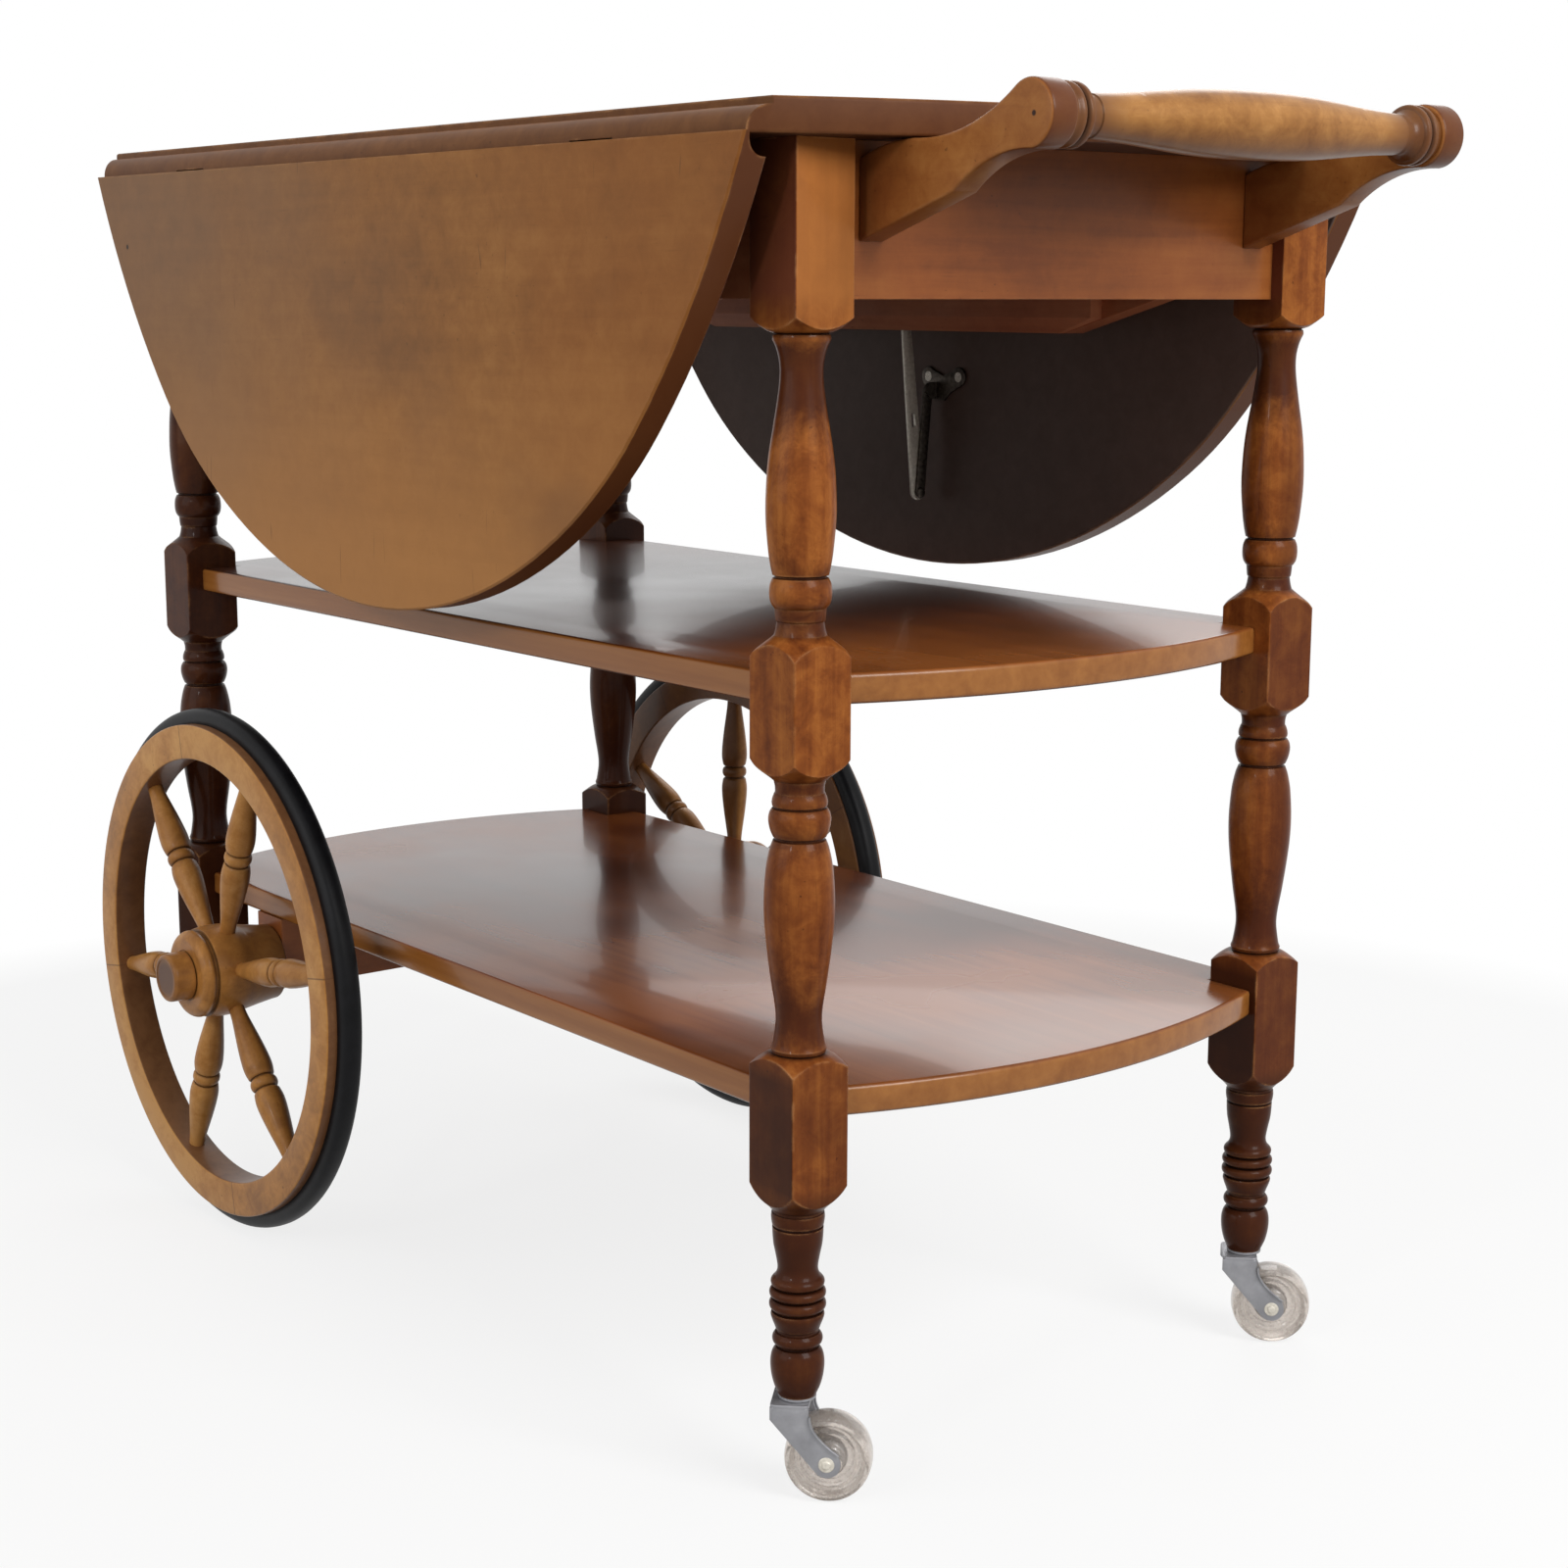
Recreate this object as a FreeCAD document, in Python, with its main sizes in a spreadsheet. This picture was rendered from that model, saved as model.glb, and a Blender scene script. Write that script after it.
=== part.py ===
# Drop leaf tea trolley, built piece by piece in millimetres.
#
# Frame: +Z up with the floor at z = 0, +X towards the handle and the casters,
# -Y is the near side.  The origin is the middle of the bounding box's bottom.
import FreeCAD, Part
import math
import os
from types import SimpleNamespace

import Sketcher

V = FreeCAD.Vector

SIZES = {
    # posts
    "post_side": 39.0,
    "post_spacing_x": 711.0,
    "post_spacing_y": 370.0,
    "shoulder_rise": 10.0,
    "neck_radius": 12.8,
    "bead_radius": 16.5,
    "vase_radius": 18.8,
    "waist_radius": 12.3,
    "collar_radius": 15.6,
    # the square blocks: the top one's height, and how far the others pass the shelves
    "top_block_height": 90.0,
    "middle_block_above": 9.5,
    "middle_block_below": 27.5,
    "lower_block_above": 12.5,
    "lower_block_below": 37.5,
    # top and leaves
    "top_height": 763.5,
    "top_thickness": 18.5,
    "top_side_overhang": 40.0,
    "top_end_overhang": 71.5,
    "end_bow_radius": 570.0,
    "leaf_shoulder_radius": 300.0,
    "leaf_width": 273.5,
    "rule_step": 4.0,
    "rule_radius": 12.5,
    "rule_clearance": 0.6,
    "edge_ease": 1.2,
    # aprons
    "apron_height": 81.0,
    "apron_thickness": 17.5,
    "end_apron_setback": 9.0,
    "side_apron_setback": 16.5,
    "side_apron_drop": 22.5,
    "drop_half_bottom": 186.0,
    "drop_half_top": 269.0,
    "tenon_length": 14.0,
    "tenon_thickness": 8.0,
    "tenon_inset": 12.0,
    "batten_height": 52.0,
    "batten_thickness": 10.0,
    "batten_half_length": 220.0,
    "batten_half_bottom": 186.0,
    "batten_bevel": 10.0,
    "cleat_length": 60.0,
    "cleat_side": 20.0,
    "cleat_screw_bite": 10.0,
    # shelves
    "shelf_thickness": 17.0,
    "shelf_side_overhang": 7.5,
    "middle_shelf_top": 467.0,
    "middle_shelf_overhang": 39.5,
    "lower_shelf_top": 239.0,
    "lower_shelf_overhang": 46.5,
    "shelf_bow_radius": 438.0,
    "dowel_radius": 4.0,
    "dowel_length": 28.0,
    "dowel_inset": 10.0,
    # big wheels
    "wheel_radius": 188.0,
    "axle_back": 249.0,
    "wheel_offset": 39.0,
    "tyre_cover": 10.5,
    "rim_depth": 24.5,
    "rim_width": 24.0,
    "tyre_section_radius": 8.0,
    "tyre_inset": 3.0,
    "hub_radius": 33.0,
    "hub_inner_radius": 27.0,
    "hub_front": 28.0,
    "hub_side_gap": 0.4,
    "hub_barrel": 9.0,
    "hub_groove_depth": 3.5,
    "hub_groove_width": 2.0,
    "flange_radius": 31.0,
    "flange_face_radius": 27.0,
    "flange_width": 9.0,
    "flange_round": 5.0,
    "hub_recess_radius": 12.0,
    "cap_radius": 17.4,
    "cap_length": 16.0,
    "cap_round": 3.0,
    "cap_fit": 0.1,
    "cap_spigot_length": 4.0,
    "cap_clearance": 1.5,
    "axle_past_nut": 1.1,
    "axle_radius": 5.0,
    "axle_fit": 0.1,
    "nut_radius": 9.0,
    "nut_length": 7.0,
    "spoke_radius": 10.3,
    "spoke_end_radius": 5.5,
    "spoke_bead_radius": 9.8,
    "spoke_bead_rise": 1.6,
    "spoke_bead_half": 4.0,
    "spoke_groove": 1.0,
    "spoke_fillet": 3.0,
    "spoke_seat": 7.0,
    "bolster_thickness": 36.0,
    "bolster_below_axle": 17.0,
    # casters
    "caster_wheel_radius": 25.0,
    "caster_wheel_width": 20.0,
    "caster_trail": 18.0,
    "caster_wheel_clearance": 6.9,
    "caster_axle_radius": 3.0,
    "caster_axle_head": 1.4,
    "caster_fit": 0.1,
    "fork_gap": 24.2,
    "fork_sheet": 2.2,
    "fork_back": 14.0,
    "fork_front": 16.0,
    "fork_cheek": 9.0,
    "fork_crown_gap": 0.4,
    "stem_radius": 4.0,
    "stem_length": 34.0,
    "socket_radius": 5.5,
    "socket_flange": 1.5,
    # handle
    "arm_thickness": 17.5,
    "arm_inset": 27.0,
    "arm_foot_drop": 9.0,
    "arm_foot_height": 42.5,
    "arm_top_gap": 0.8,
    "arm_back_radius": 103.0,
    "arm_hollow_radius": 110.0,
    "arm_belly_reach": 72.0,
    "arm_belly_rise": 23.2,
    "arm_belly_radius": 79.0,
    "grip_offset": 126.0,
    "grip_drop": 11.0,
    "arm_head_radius": 17.0,
    "grip_radius": 17.4,
    "grip_neck_radius": 10.3,
    "grip_bead_radius": 16.2,
    "grip_bead_rise": 1.5,
    "grip_bead_width": 5.0,
    "grip_collar": 2.0,
    "grip_neck_length": 4.0,
    "grip_cove_length": 30.0,
    "grip_tenon_radius": 6.0,
    "grip_tenon_length": 12.0,
    # leaf hinges
    "hinge_offset": 240.0,
    "hinge_width": 40.0,
    "hinge_sheet": 1.6,
    "hinge_barrel_radius": 3.0,
    "hinge_pin_radius": 1.5,
    "hinge_pin_fit": 0.05,
    "hinge_short": 25.0,
    "hinge_long": 44.0,
    "hinge_gap": 0.3,
    # leaf stays
    "stay_pivot_gap": 7.0,
    "stay_pivot_drop": 97.0,
    "stay_leaf_pivot": 149.0,
    "stay_leaf_offset": 10.0,
    "stay_elbow_out": 13.71,
    "stay_elbow_drop": 125.0,
    "stay_sheet": 2.0,
    "stay_gap": 0.35,
    "stay_width": 13.0,
    "stay_narrow": 8.0,
    "stay_slot_width": 3.5,
    "stay_slot_length": 9.0,
    "stay_slot_inset": 12.0,
    "stay_ear": 12.0,
    "stay_ear_past": 4.5,
    "stay_screw_inset": 6.0,
    "stay_plate_below": 16.0,
    "stay_plate_height": 23.0,
    "stay_plate_back": 10.0,
    "stay_plate_front": 34.0,
    "stay_lobe_height": 9.0,
    "bracket_length": 26.0,
    "bracket_height": 14.0,
    "rivet_fit": 0.1,
    "rivet_radius": 2.0,
    "rivet_head_radius": 4.0,
    "rivet_head": 1.6,
    # wood screws
    "screw_radius": 1.9,
    "screw_head_radius": 3.6,
    "screw_head_depth": 2.0,
    "screw_tip_radius": 0.3,
    "screw_length": 12.0,
    "long_screw_length": 38.0,
    "counterbore_radius": 4.5,
}

doc = FreeCAD.newDocument("DropLeafTeaTrolley")
sheet = doc.addObject("Spreadsheet::Sheet", "Sizes")


class Size:
    """A length with its value and the sheet formula that it comes from."""

    def __init__(self, value, text=None):
        self.value = float(value)
        self.text = text or "%.9g" % self.value

    def _join(self, other, sign, combine, swapped=False):
        other = as_size(other)
        left, right = (other, self) if swapped else (self, other)
        text = "(%s %s %s)" % (left.text, sign, right.text)
        return Size(combine(left.value, right.value), text)

    def __add__(self, other):
        return self._join(other, "+", lambda a, b: a + b)

    def __radd__(self, other):
        return self._join(other, "+", lambda a, b: a + b, swapped=True)

    def __sub__(self, other):
        return self._join(other, "-", lambda a, b: a - b)

    def __rsub__(self, other):
        return self._join(other, "-", lambda a, b: a - b, swapped=True)

    def __mul__(self, other):
        return self._join(other, "*", lambda a, b: a * b)

    def __rmul__(self, other):
        return self._join(other, "*", lambda a, b: a * b, swapped=True)

    def __truediv__(self, other):
        return self._join(other, "/", lambda a, b: a / b)

    def __neg__(self):
        return Size(-self.value, "(0 - %s)" % self.text)

    def root(self):
        return Size(math.sqrt(self.value), "sqrt(%s)" % self.text)


def as_size(number):
    return number if isinstance(number, Size) else Size(number)


def fill_sheet():
    for row, (name, value) in enumerate(SIZES.items(), start=1):
        sheet.set("A%d" % row, name)
        sheet.set("B%d" % row, str(value))
        sheet.setAlias("B%d" % row, name)
    doc.recompute()
    return SimpleNamespace(**{name: Size(value, "Sizes." + name) for name, value in SIZES.items()})


S = fill_sheet()

# ---------------------------------------------------------------- places
post_half = S.post_side / 2
axle_height = S.wheel_radius
end_apron_face = S.post_spacing_x / 2 + post_half - S.end_apron_setback
side_apron_face = S.post_spacing_y / 2 + post_half - S.side_apron_setback
handle_reach = end_apron_face + S.grip_offset + S.arm_head_radius
middle_x = (S.axle_back + S.wheel_radius - handle_reach) / 2
top_half_width = S.post_spacing_y / 2 + S.top_side_overhang
top_reach = S.post_spacing_x / 2 + S.top_end_overhang
shelf_half_width = S.post_spacing_y / 2 + S.shelf_side_overhang
wheel_track_half = shelf_half_width + S.wheel_offset
post_inner_x = S.post_spacing_x / 2 - post_half
post_inner_y = S.post_spacing_y / 2 - post_half
underside = S.top_height - S.top_thickness
apron_bottom = underside - S.apron_height
pin_below_top = S.rule_step + S.rule_radius
pin_height = S.top_height - pin_below_top
pin_above_underside = S.top_thickness - pin_below_top
ovolo_half_width = top_half_width + S.rule_radius
middle_shelf_bottom = S.middle_shelf_top - S.shelf_thickness
lower_shelf_bottom = S.lower_shelf_top - S.shelf_thickness
crown_top = S.caster_wheel_radius * 2 + S.caster_wheel_clearance + S.fork_sheet
foot_bottom = crown_top + S.fork_crown_gap + S.socket_flange
SIDES = (("near", -1), ("far", 1))
WHEEL_STOPS_AT = {"near": 10.0, "far": 30.0}
ENDS = (("handle", 1), ("wheel", -1))
SPOKES = 6
FELLOES = 4


# ---------------------------------------------------------------- helpers
def bind(obj, prop, size):
    obj.setExpression(prop, as_size(size).text)


def place(obj, x=0, y=0, z=0, axis=(0, 0, 1), angle=0.0):
    """Turn obj by a fixed angle about an axis and bind its place to the sheet."""
    where = [as_size(c) for c in (x, y, z)]
    turn = FreeCAD.Rotation(V(*axis), angle)
    obj.Placement = FreeCAD.Placement(V(*[c.value for c in where]), turn)
    for letter, c in zip("xyz", where):
        bind(obj, "Placement.Base." + letter, c)
    return obj


def box(name, length, width, height, x, y, z):
    """A box with its lowest corner at x, y, z."""
    obj = doc.addObject("Part::Box", name)
    bind(obj, "Length", length)
    bind(obj, "Width", width)
    bind(obj, "Height", height)
    return place(obj, x, y, z)


def middle_box(name, length, width, height, x, y, z):
    """A box with the middle of its base at x, y, z."""
    return box(name, length, width, height, x - as_size(length) / 2, y - as_size(width) / 2, z)


TURNS = {
    "up": ((0, 0, 1), 0.0),
    "down": ((1, 0, 0), 180.0),
    "+x": ((0, 1, 0), 90.0),
    "-x": ((0, 1, 0), -90.0),
    "+y": ((1, 0, 0), -90.0),
    "-y": ((1, 0, 0), 90.0),
}


def cylinder(name, radius, length, x, y, z, way="up"):
    """A cylinder that starts at x, y, z and runs the given way."""
    obj = doc.addObject("Part::Cylinder", name)
    bind(obj, "Radius", radius)
    bind(obj, "Height", length)
    return place(obj, x, y, z, *TURNS[way])


def cone(name, radius, end_radius, length, x, y, z, way="up"):
    obj = doc.addObject("Part::Cone", name)
    bind(obj, "Radius1", radius)
    bind(obj, "Radius2", end_radius)
    bind(obj, "Height", length)
    return place(obj, x, y, z, *TURNS[way])


def fuse(name, pieces):
    obj = doc.addObject("Part::MultiFuse", name)
    obj.Shapes = pieces
    return obj


def group(name, pieces):
    obj = doc.addObject("Part::Compound", name)
    obj.Links = pieces
    return obj


def cut(name, base, tools):
    """base with the tools taken away."""
    obj = doc.addObject("Part::Cut", name)
    obj.Base = base
    obj.Tool = tools[0] if len(tools) == 1 else fuse(name + "_voids", tools)
    return obj


def common(name, base, tool):
    obj = doc.addObject("Part::Common", name)
    obj.Base = base
    obj.Tool = tool
    return obj


def new_body(name):
    return doc.addObject("PartDesign::Body", name)


def origin_plane(body, role):
    return next(f for f in body.Origin.OriginFeatures if f.Role == role)


def arc_edge(start, end, radius, turn):
    """An arc shorter than a half turn; turn 1 runs counter-clockwise, -1 clockwise."""
    chord = end - start
    half = chord.Length / 2
    left = V(-chord.y, chord.x, 0) / chord.Length
    rise = radius - math.sqrt(max(radius * radius - half * half, 0.0))
    middle = (start + end) / 2 - left * turn * rise
    if turn > 0:
        return Part.Arc(start, middle, end)
    return Part.Arc(end, middle, start)


def add_loop(sketch, loop, rules, bound):
    """Add a closed outline: (x, y) ends a line, (x, y, radius, turn) ends an arc."""
    points = [(as_size(p[0]), as_size(p[1])) for p in loop]
    start = sketch.GeometryCount
    count = len(loop)
    ends = []
    for i in range(count):
        step = loop[(i + 1) % count]
        a, b = (V(p[0].value, p[1].value, 0) for p in (points[i], points[(i + 1) % count]))
        if len(step) == 4 and step[2] is not None:
            radius = as_size(step[2])
            index = sketch.addGeometry(arc_edge(a, b, radius.value, step[3]), False)
            bound.append((len(rules), radius))
            rules.append(Sketcher.Constraint("Radius", index, radius.value))
            ends.append((1, 2) if step[3] > 0 else (2, 1))
        else:
            index = sketch.addGeometry(Part.LineSegment(a, b), False)
            ends.append((1, 2))
    for i in range(count):
        after = (i + 1) % count
        rules.append(Sketcher.Constraint("Coincident", start + i, ends[i][1], start + after, ends[after][0]))
        for letter, axis, size in (("X", -2, points[i][0]), ("Y", -1, points[i][1])):
            if size.value == 0.0:
                rules.append(Sketcher.Constraint("PointOnObject", start + i, ends[i][0], axis))
            else:
                bound.append((len(rules), size))
                rules.append(Sketcher.Constraint("Distance" + letter, start + i, ends[i][0], size.value))


def draw(body, name, plane, loops):
    """A sketch on one of the body's own planes, every point bound to the sheet."""
    sketch = body.newObject("Sketcher::SketchObject", name)
    sketch.AttachmentSupport = (origin_plane(body, plane), [""])
    sketch.MapMode = "FlatFace"
    rules = []
    bound = []
    for loop in loops:
        add_loop(sketch, loop, rules, bound)
    sketch.addConstraint(rules)
    for index, size in bound:
        sketch.setExpression("Constraints[%d]" % index, size.text)
    return sketch


def pad(body, sketch, length):
    """Thicken the sketch, half to each side of its plane."""
    feature = body.newObject("PartDesign::Pad", sketch.Name + "_pad")
    feature.Profile = sketch
    feature.SideType = "Symmetric"
    bind(feature, "Length", length)
    return feature


def pocket(body, sketch):
    """Cut the sketch right through the body, to both sides of its plane."""
    feature = body.newObject("PartDesign::Pocket", sketch.Name + "_cut")
    feature.Profile = sketch
    feature.Type = "ThroughAll"
    feature.SideType = "Symmetric"
    return feature


def turn_on_lathe(body, sketch, axis="V_Axis"):
    """Revolve the sketch about one of its own axes."""
    feature = body.newObject("PartDesign::Revolution", sketch.Name + "_turning")
    feature.Profile = sketch
    feature.ReferenceAxis = (sketch, [axis])
    feature.Angle = 360
    return feature


def turned_piece(name, outline):
    """A piece turned about its own Z axis from an outline of (radius, height) points."""
    body = new_body(name)
    turn_on_lathe(body, draw(body, name + "_outline", "XZ_Plane", [outline]))
    return body


def ease_edges(body, name, size, wanted):
    """Chamfer the edges that pass the test."""
    doc.recompute()
    base = body.Tip
    names = []
    for number, edge in enumerate(base.Shape.Edges, start=1):
        middle = edge.valueAt((edge.FirstParameter + edge.LastParameter) / 2)
        if wanted(edge, middle):
            names.append("Edge%d" % number)
    feature = body.newObject("PartDesign::Chamfer", name)
    feature.Base = (base, names)
    bind(feature, "Size", size)
    return feature


def screw(name, length, x, y, z, way):
    """A countersunk wood screw, its head's face at x, y, z, driven the given way."""
    steps = {"up": V(0, 0, 1), "down": V(0, 0, -1), "+x": V(1, 0, 0), "-x": V(-1, 0, 0),
             "+y": V(0, 1, 0), "-y": V(0, -1, 0)}
    step = steps[way]
    tip = S.screw_radius * 2
    head_end = [as_size(c) + S.screw_head_depth * s for c, s in zip((x, y, z), step)]
    shank = as_size(length) - S.screw_head_depth - tip
    shank_end = [c + shank * s for c, s in zip(head_end, step)]
    head = cone(name + "_head", S.screw_head_radius, S.screw_radius, S.screw_head_depth, x, y, z, way)
    body = cylinder(name + "_shank", S.screw_radius, shank, *head_end, way)
    point = cone(name + "_point", S.screw_radius, S.screw_tip_radius, tip, *shank_end, way)
    return fuse(name, [head, body, point])


nodes = []


def node(name, obj):
    """Give the finished piece its name."""
    obj.Label = name
    nodes.append(obj)
    return obj


# ---------------------------------------------------------------- turned posts
def crown_radius(rise, run):
    """The radius of an arc that swells by rise over run and ends level with the axis."""
    return (run * run + rise * rise) / (rise * 2)


def ogee_radius(rise, run):
    """The radius of the two equal arcs of an S-curve over the whole rise and run."""
    return (run * run + rise * rise) / (rise * 4)


def reverse(run):
    """The same lines and arcs followed from the last point to the first."""
    turned = [run[-1][:2]]
    for here, before in zip(run[:0:-1], run[-2::-1]):
        if len(here) == 4:
            turned.append((before[0], before[1], here[2], -here[3]))
        else:
            turned.append((before[0], before[1]))
    return turned


top_block_bottom = underside - S.top_block_height
middle_block_top = S.middle_shelf_top + S.middle_block_above
middle_block_bottom = middle_shelf_bottom - S.middle_block_below
lower_block_top = S.lower_shelf_top + S.lower_block_above
lower_block_bottom = lower_shelf_bottom - S.lower_block_below
corner_radius = post_half * 1.5
shoulder_radius = S.shoulder_rise * 2.2


def turning(start, end, out):
    """The turned stretch from the block corner at start to the one at end.

    out is 1 where the run goes upwards and -1 where it goes down.
    """
    span = end - start

    def at(share):
        return start + span * share

    swell = crown_radius(S.vase_radius - S.collar_radius, span * 0.19)
    ogee = ogee_radius(S.vase_radius - S.waist_radius, span * 0.35)
    flare = crown_radius(S.collar_radius - S.waist_radius, span * 0.115)
    bead_bottom = S.bead_radius - 3.2
    shoulder_end = S.neck_radius + 0.8
    return [
        (corner_radius, start),
        (shoulder_end, start + S.shoulder_rise * out, shoulder_radius, out),
        (S.neck_radius, at(0.105)),
        (S.neck_radius + 0.6, at(0.135)),
        (S.neck_radius + 0.6, at(0.158)),
        (bead_bottom, at(0.160)),
        (bead_bottom, at(0.245), span * out * 0.06, out),
        (S.collar_radius, at(0.26)),
        (S.vase_radius, at(0.45), swell, out),
        ((S.vase_radius + S.waist_radius) / 2, at(0.625), ogee, out),
        (S.waist_radius, at(0.80), ogee, -out),
        (S.collar_radius, at(0.915), flare, -out),
        (S.collar_radius, at(0.935)),
        (shoulder_end, end - S.shoulder_rise * out),
        (corner_radius, end, shoulder_radius, out),
    ]


def foot_turning(start, end):
    """The turned foot, running down from the lowest block's corner at start."""
    span = start - end

    def at(share):
        return start - span * share

    bead_low = S.bead_radius - 1.8
    bead_high = S.bead_radius - 1.2
    small_bead = span * 0.038
    slim = S.waist_radius - 1.0
    return [
        (corner_radius, start),
        (S.neck_radius + 1.2, start - S.shoulder_rise, shoulder_radius, -1),
        (S.neck_radius + 1.8, at(0.13)),
        (S.neck_radius + 0.5, at(0.175)),
        (S.neck_radius + 0.5, at(0.19)),
        (S.neck_radius + 1.2, at(0.22)),
        (slim, at(0.415), crown_radius(S.neck_radius + 1.2 - slim, span * 0.195), 1),
        (S.waist_radius, at(0.465), crown_radius(1.0, span * 0.05), 1),
        (bead_low, at(0.470)),
        (bead_low, at(0.510), small_bead, -1),
        (bead_high, at(0.512)),
        (bead_high, at(0.558), small_bead, -1),
        (bead_low, at(0.560)),
        (bead_low, at(0.600), small_bead, -1),
        (S.waist_radius + 0.5, at(0.605)),
        (S.waist_radius + 0.5, at(0.66)),
        (S.neck_radius + 0.2, at(0.70)),
        (S.neck_radius + 0.8, at(0.735)),
        (S.neck_radius + 0.8, at(0.775)),
        (S.neck_radius, at(0.79)),
        (S.neck_radius - 0.4, end, span * 0.28, -1),
    ]


def post(name, end_name, x, y, voids):
    """A post turned from square stock; the blocks keep the stock's four faces."""
    upper = reverse(turning(middle_block_top, top_block_bottom, 1))
    lower = turning(middle_block_bottom, lower_block_top, -1)
    outline = [(0, underside), (corner_radius, underside)] + upper + lower
    if end_name == "handle":
        lowest = foot_bottom
        outline += foot_turning(lower_block_bottom, lowest)
    else:
        lowest = lower_block_bottom - S.shoulder_rise
        outline += [(corner_radius, lower_block_bottom)]
        outline += [(S.neck_radius + 1.2, lowest, shoulder_radius, -1)]
    outline += [(0, lowest)]
    blank = place(turned_piece(name + "_turning", outline), x, y, 0)
    stock = middle_box(name + "_stock", S.post_side, S.post_side, underside - lowest, x, y, lowest)
    return node(name, cut(name, common(name + "_shaped", blank, stock), voids))


# ---------------------------------------------------------------- aprons
tenon_height = S.apron_height - S.tenon_inset * 2
tenon_bottom = apron_bottom + S.tenon_inset
end_apron_middle = end_apron_face - S.apron_thickness / 2
side_apron_middle = side_apron_face - S.apron_thickness / 2
drop_bottom = apron_bottom - S.side_apron_drop


def tenons():
    """Stub tenons, keyed by apron and post; each is both the tongue and its mortise."""
    made = {}
    half = S.tenon_length / 2
    for end_name, end in ENDS:
        for side_name, side in SIDES:
            made["end", end_name, side_name] = middle_box(
                "end_tenon_%s_%s" % (end_name, side_name), S.tenon_thickness, S.tenon_length, tenon_height,
                middle_x + end_apron_middle * end, (post_inner_y + half) * side, tenon_bottom)
            made["side", end_name, side_name] = middle_box(
                "side_tenon_%s_%s" % (end_name, side_name), S.tenon_length, S.tenon_thickness, tenon_height,
                middle_x + (post_inner_x + half) * end, side_apron_middle * side, tenon_bottom)
    return made


def end_apron(end_name, end, tongues, voids):
    """A plain board; the handle's dowels enter the one in front."""
    name = "end_apron_" + end_name
    board = middle_box(name + "_board", S.apron_thickness, post_inner_y * 2, S.apron_height,
                       middle_x + end_apron_middle * end, 0, apron_bottom)
    whole = fuse(name + "_joined", [board] + tongues)
    return node(name, cut(name, whole, voids) if voids else whole)


def side_apron(side_name, side, tongues, voids):
    """A board that is deeper in the middle, with slanting ends to the deep part."""
    name = "side_apron_" + side_name
    outline = [
        (-post_inner_x, underside), (-post_inner_x, apron_bottom),
        (-S.drop_half_top, apron_bottom), (-S.drop_half_bottom, drop_bottom),
        (S.drop_half_bottom, drop_bottom), (S.drop_half_top, apron_bottom),
        (post_inner_x, apron_bottom), (post_inner_x, underside),
    ]
    board = new_body(name + "_board")
    pad(board, draw(board, name + "_outline", "XZ_Plane", [outline]), S.apron_thickness)
    place(board, middle_x, side_apron_middle * side, 0)
    return node(name, cut(name, fuse(name + "_joined", [board] + tongues), voids))


def batten(side_name, side):
    """A stiffening board inside the side apron's deep part, bevelled along its lower edge."""
    name = "apron_batten_" + side_name
    bevel_top = drop_bottom + S.batten_bevel
    high = drop_bottom + S.batten_height
    outline = [
        (-S.batten_half_length, high), (-S.batten_half_length, bevel_top),
        (-S.batten_half_bottom, drop_bottom), (S.batten_half_bottom, drop_bottom),
        (S.batten_half_length, bevel_top), (S.batten_half_length, high),
    ]
    board = new_body(name)
    pad(board, draw(board, name + "_outline", "XZ_Plane", [outline]), S.batten_thickness)
    inner = -S.batten_thickness / 2 * side
    beyond = inner * 1.2
    below = drop_bottom - S.batten_bevel
    edge = [(beyond, below), (beyond, bevel_top), (inner, bevel_top), (0, drop_bottom), (0, below)]
    pocket(board, draw(board, name + "_bevel", "YZ_Plane", [edge]))
    place(board, middle_x, (side_apron_face - S.apron_thickness - S.batten_thickness / 2) * side, 0)
    return node(name, board)


def cleats():
    """Blocks glued inside the aprons; their screws run up into the top. Returns the screws."""
    blocks = []
    screws = []
    low = underside - S.cleat_side
    length = S.cleat_side + S.cleat_screw_bite
    spread = S.cleat_length * 0.3
    for name, side in SIDES:
        y = (side_apron_face - S.apron_thickness - S.cleat_side / 2) * side
        blocks.append(middle_box("cleat_" + name, S.cleat_length, S.cleat_side, S.cleat_side,
                                 middle_x, y, low))
        for shift in (-1, 1):
            label = "cleat_screw_%s_%d" % (name, shift + 2)
            screws.append(screw(label, length, middle_x + spread * shift, y, low, "up"))
    for name, end in ENDS:
        x = middle_x + (end_apron_face - S.apron_thickness - S.cleat_side / 2) * end
        blocks.append(middle_box("cleat_" + name, S.cleat_side, S.cleat_length, S.cleat_side, x, 0, low))
        for shift in (-1, 1):
            label = "cleat_screw_%s_%d" % (name, shift + 2)
            screws.append(screw(label, length, x, spread * shift, low, "up"))
    node("top_cleat_screws", group("top_cleat_screws", screws))
    node("top_cleats", cut("top_cleats", group("cleat_blocks", blocks), screws))
    return screws


# ---------------------------------------------------------------- shelves and dowels
arm_inner_y = post_inner_y - S.arm_inset
arm_middle_y = arm_inner_y + S.arm_thickness / 2
arm_foot_top = underside - S.arm_foot_drop
arm_foot_bottom = arm_foot_top - S.arm_foot_height


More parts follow.
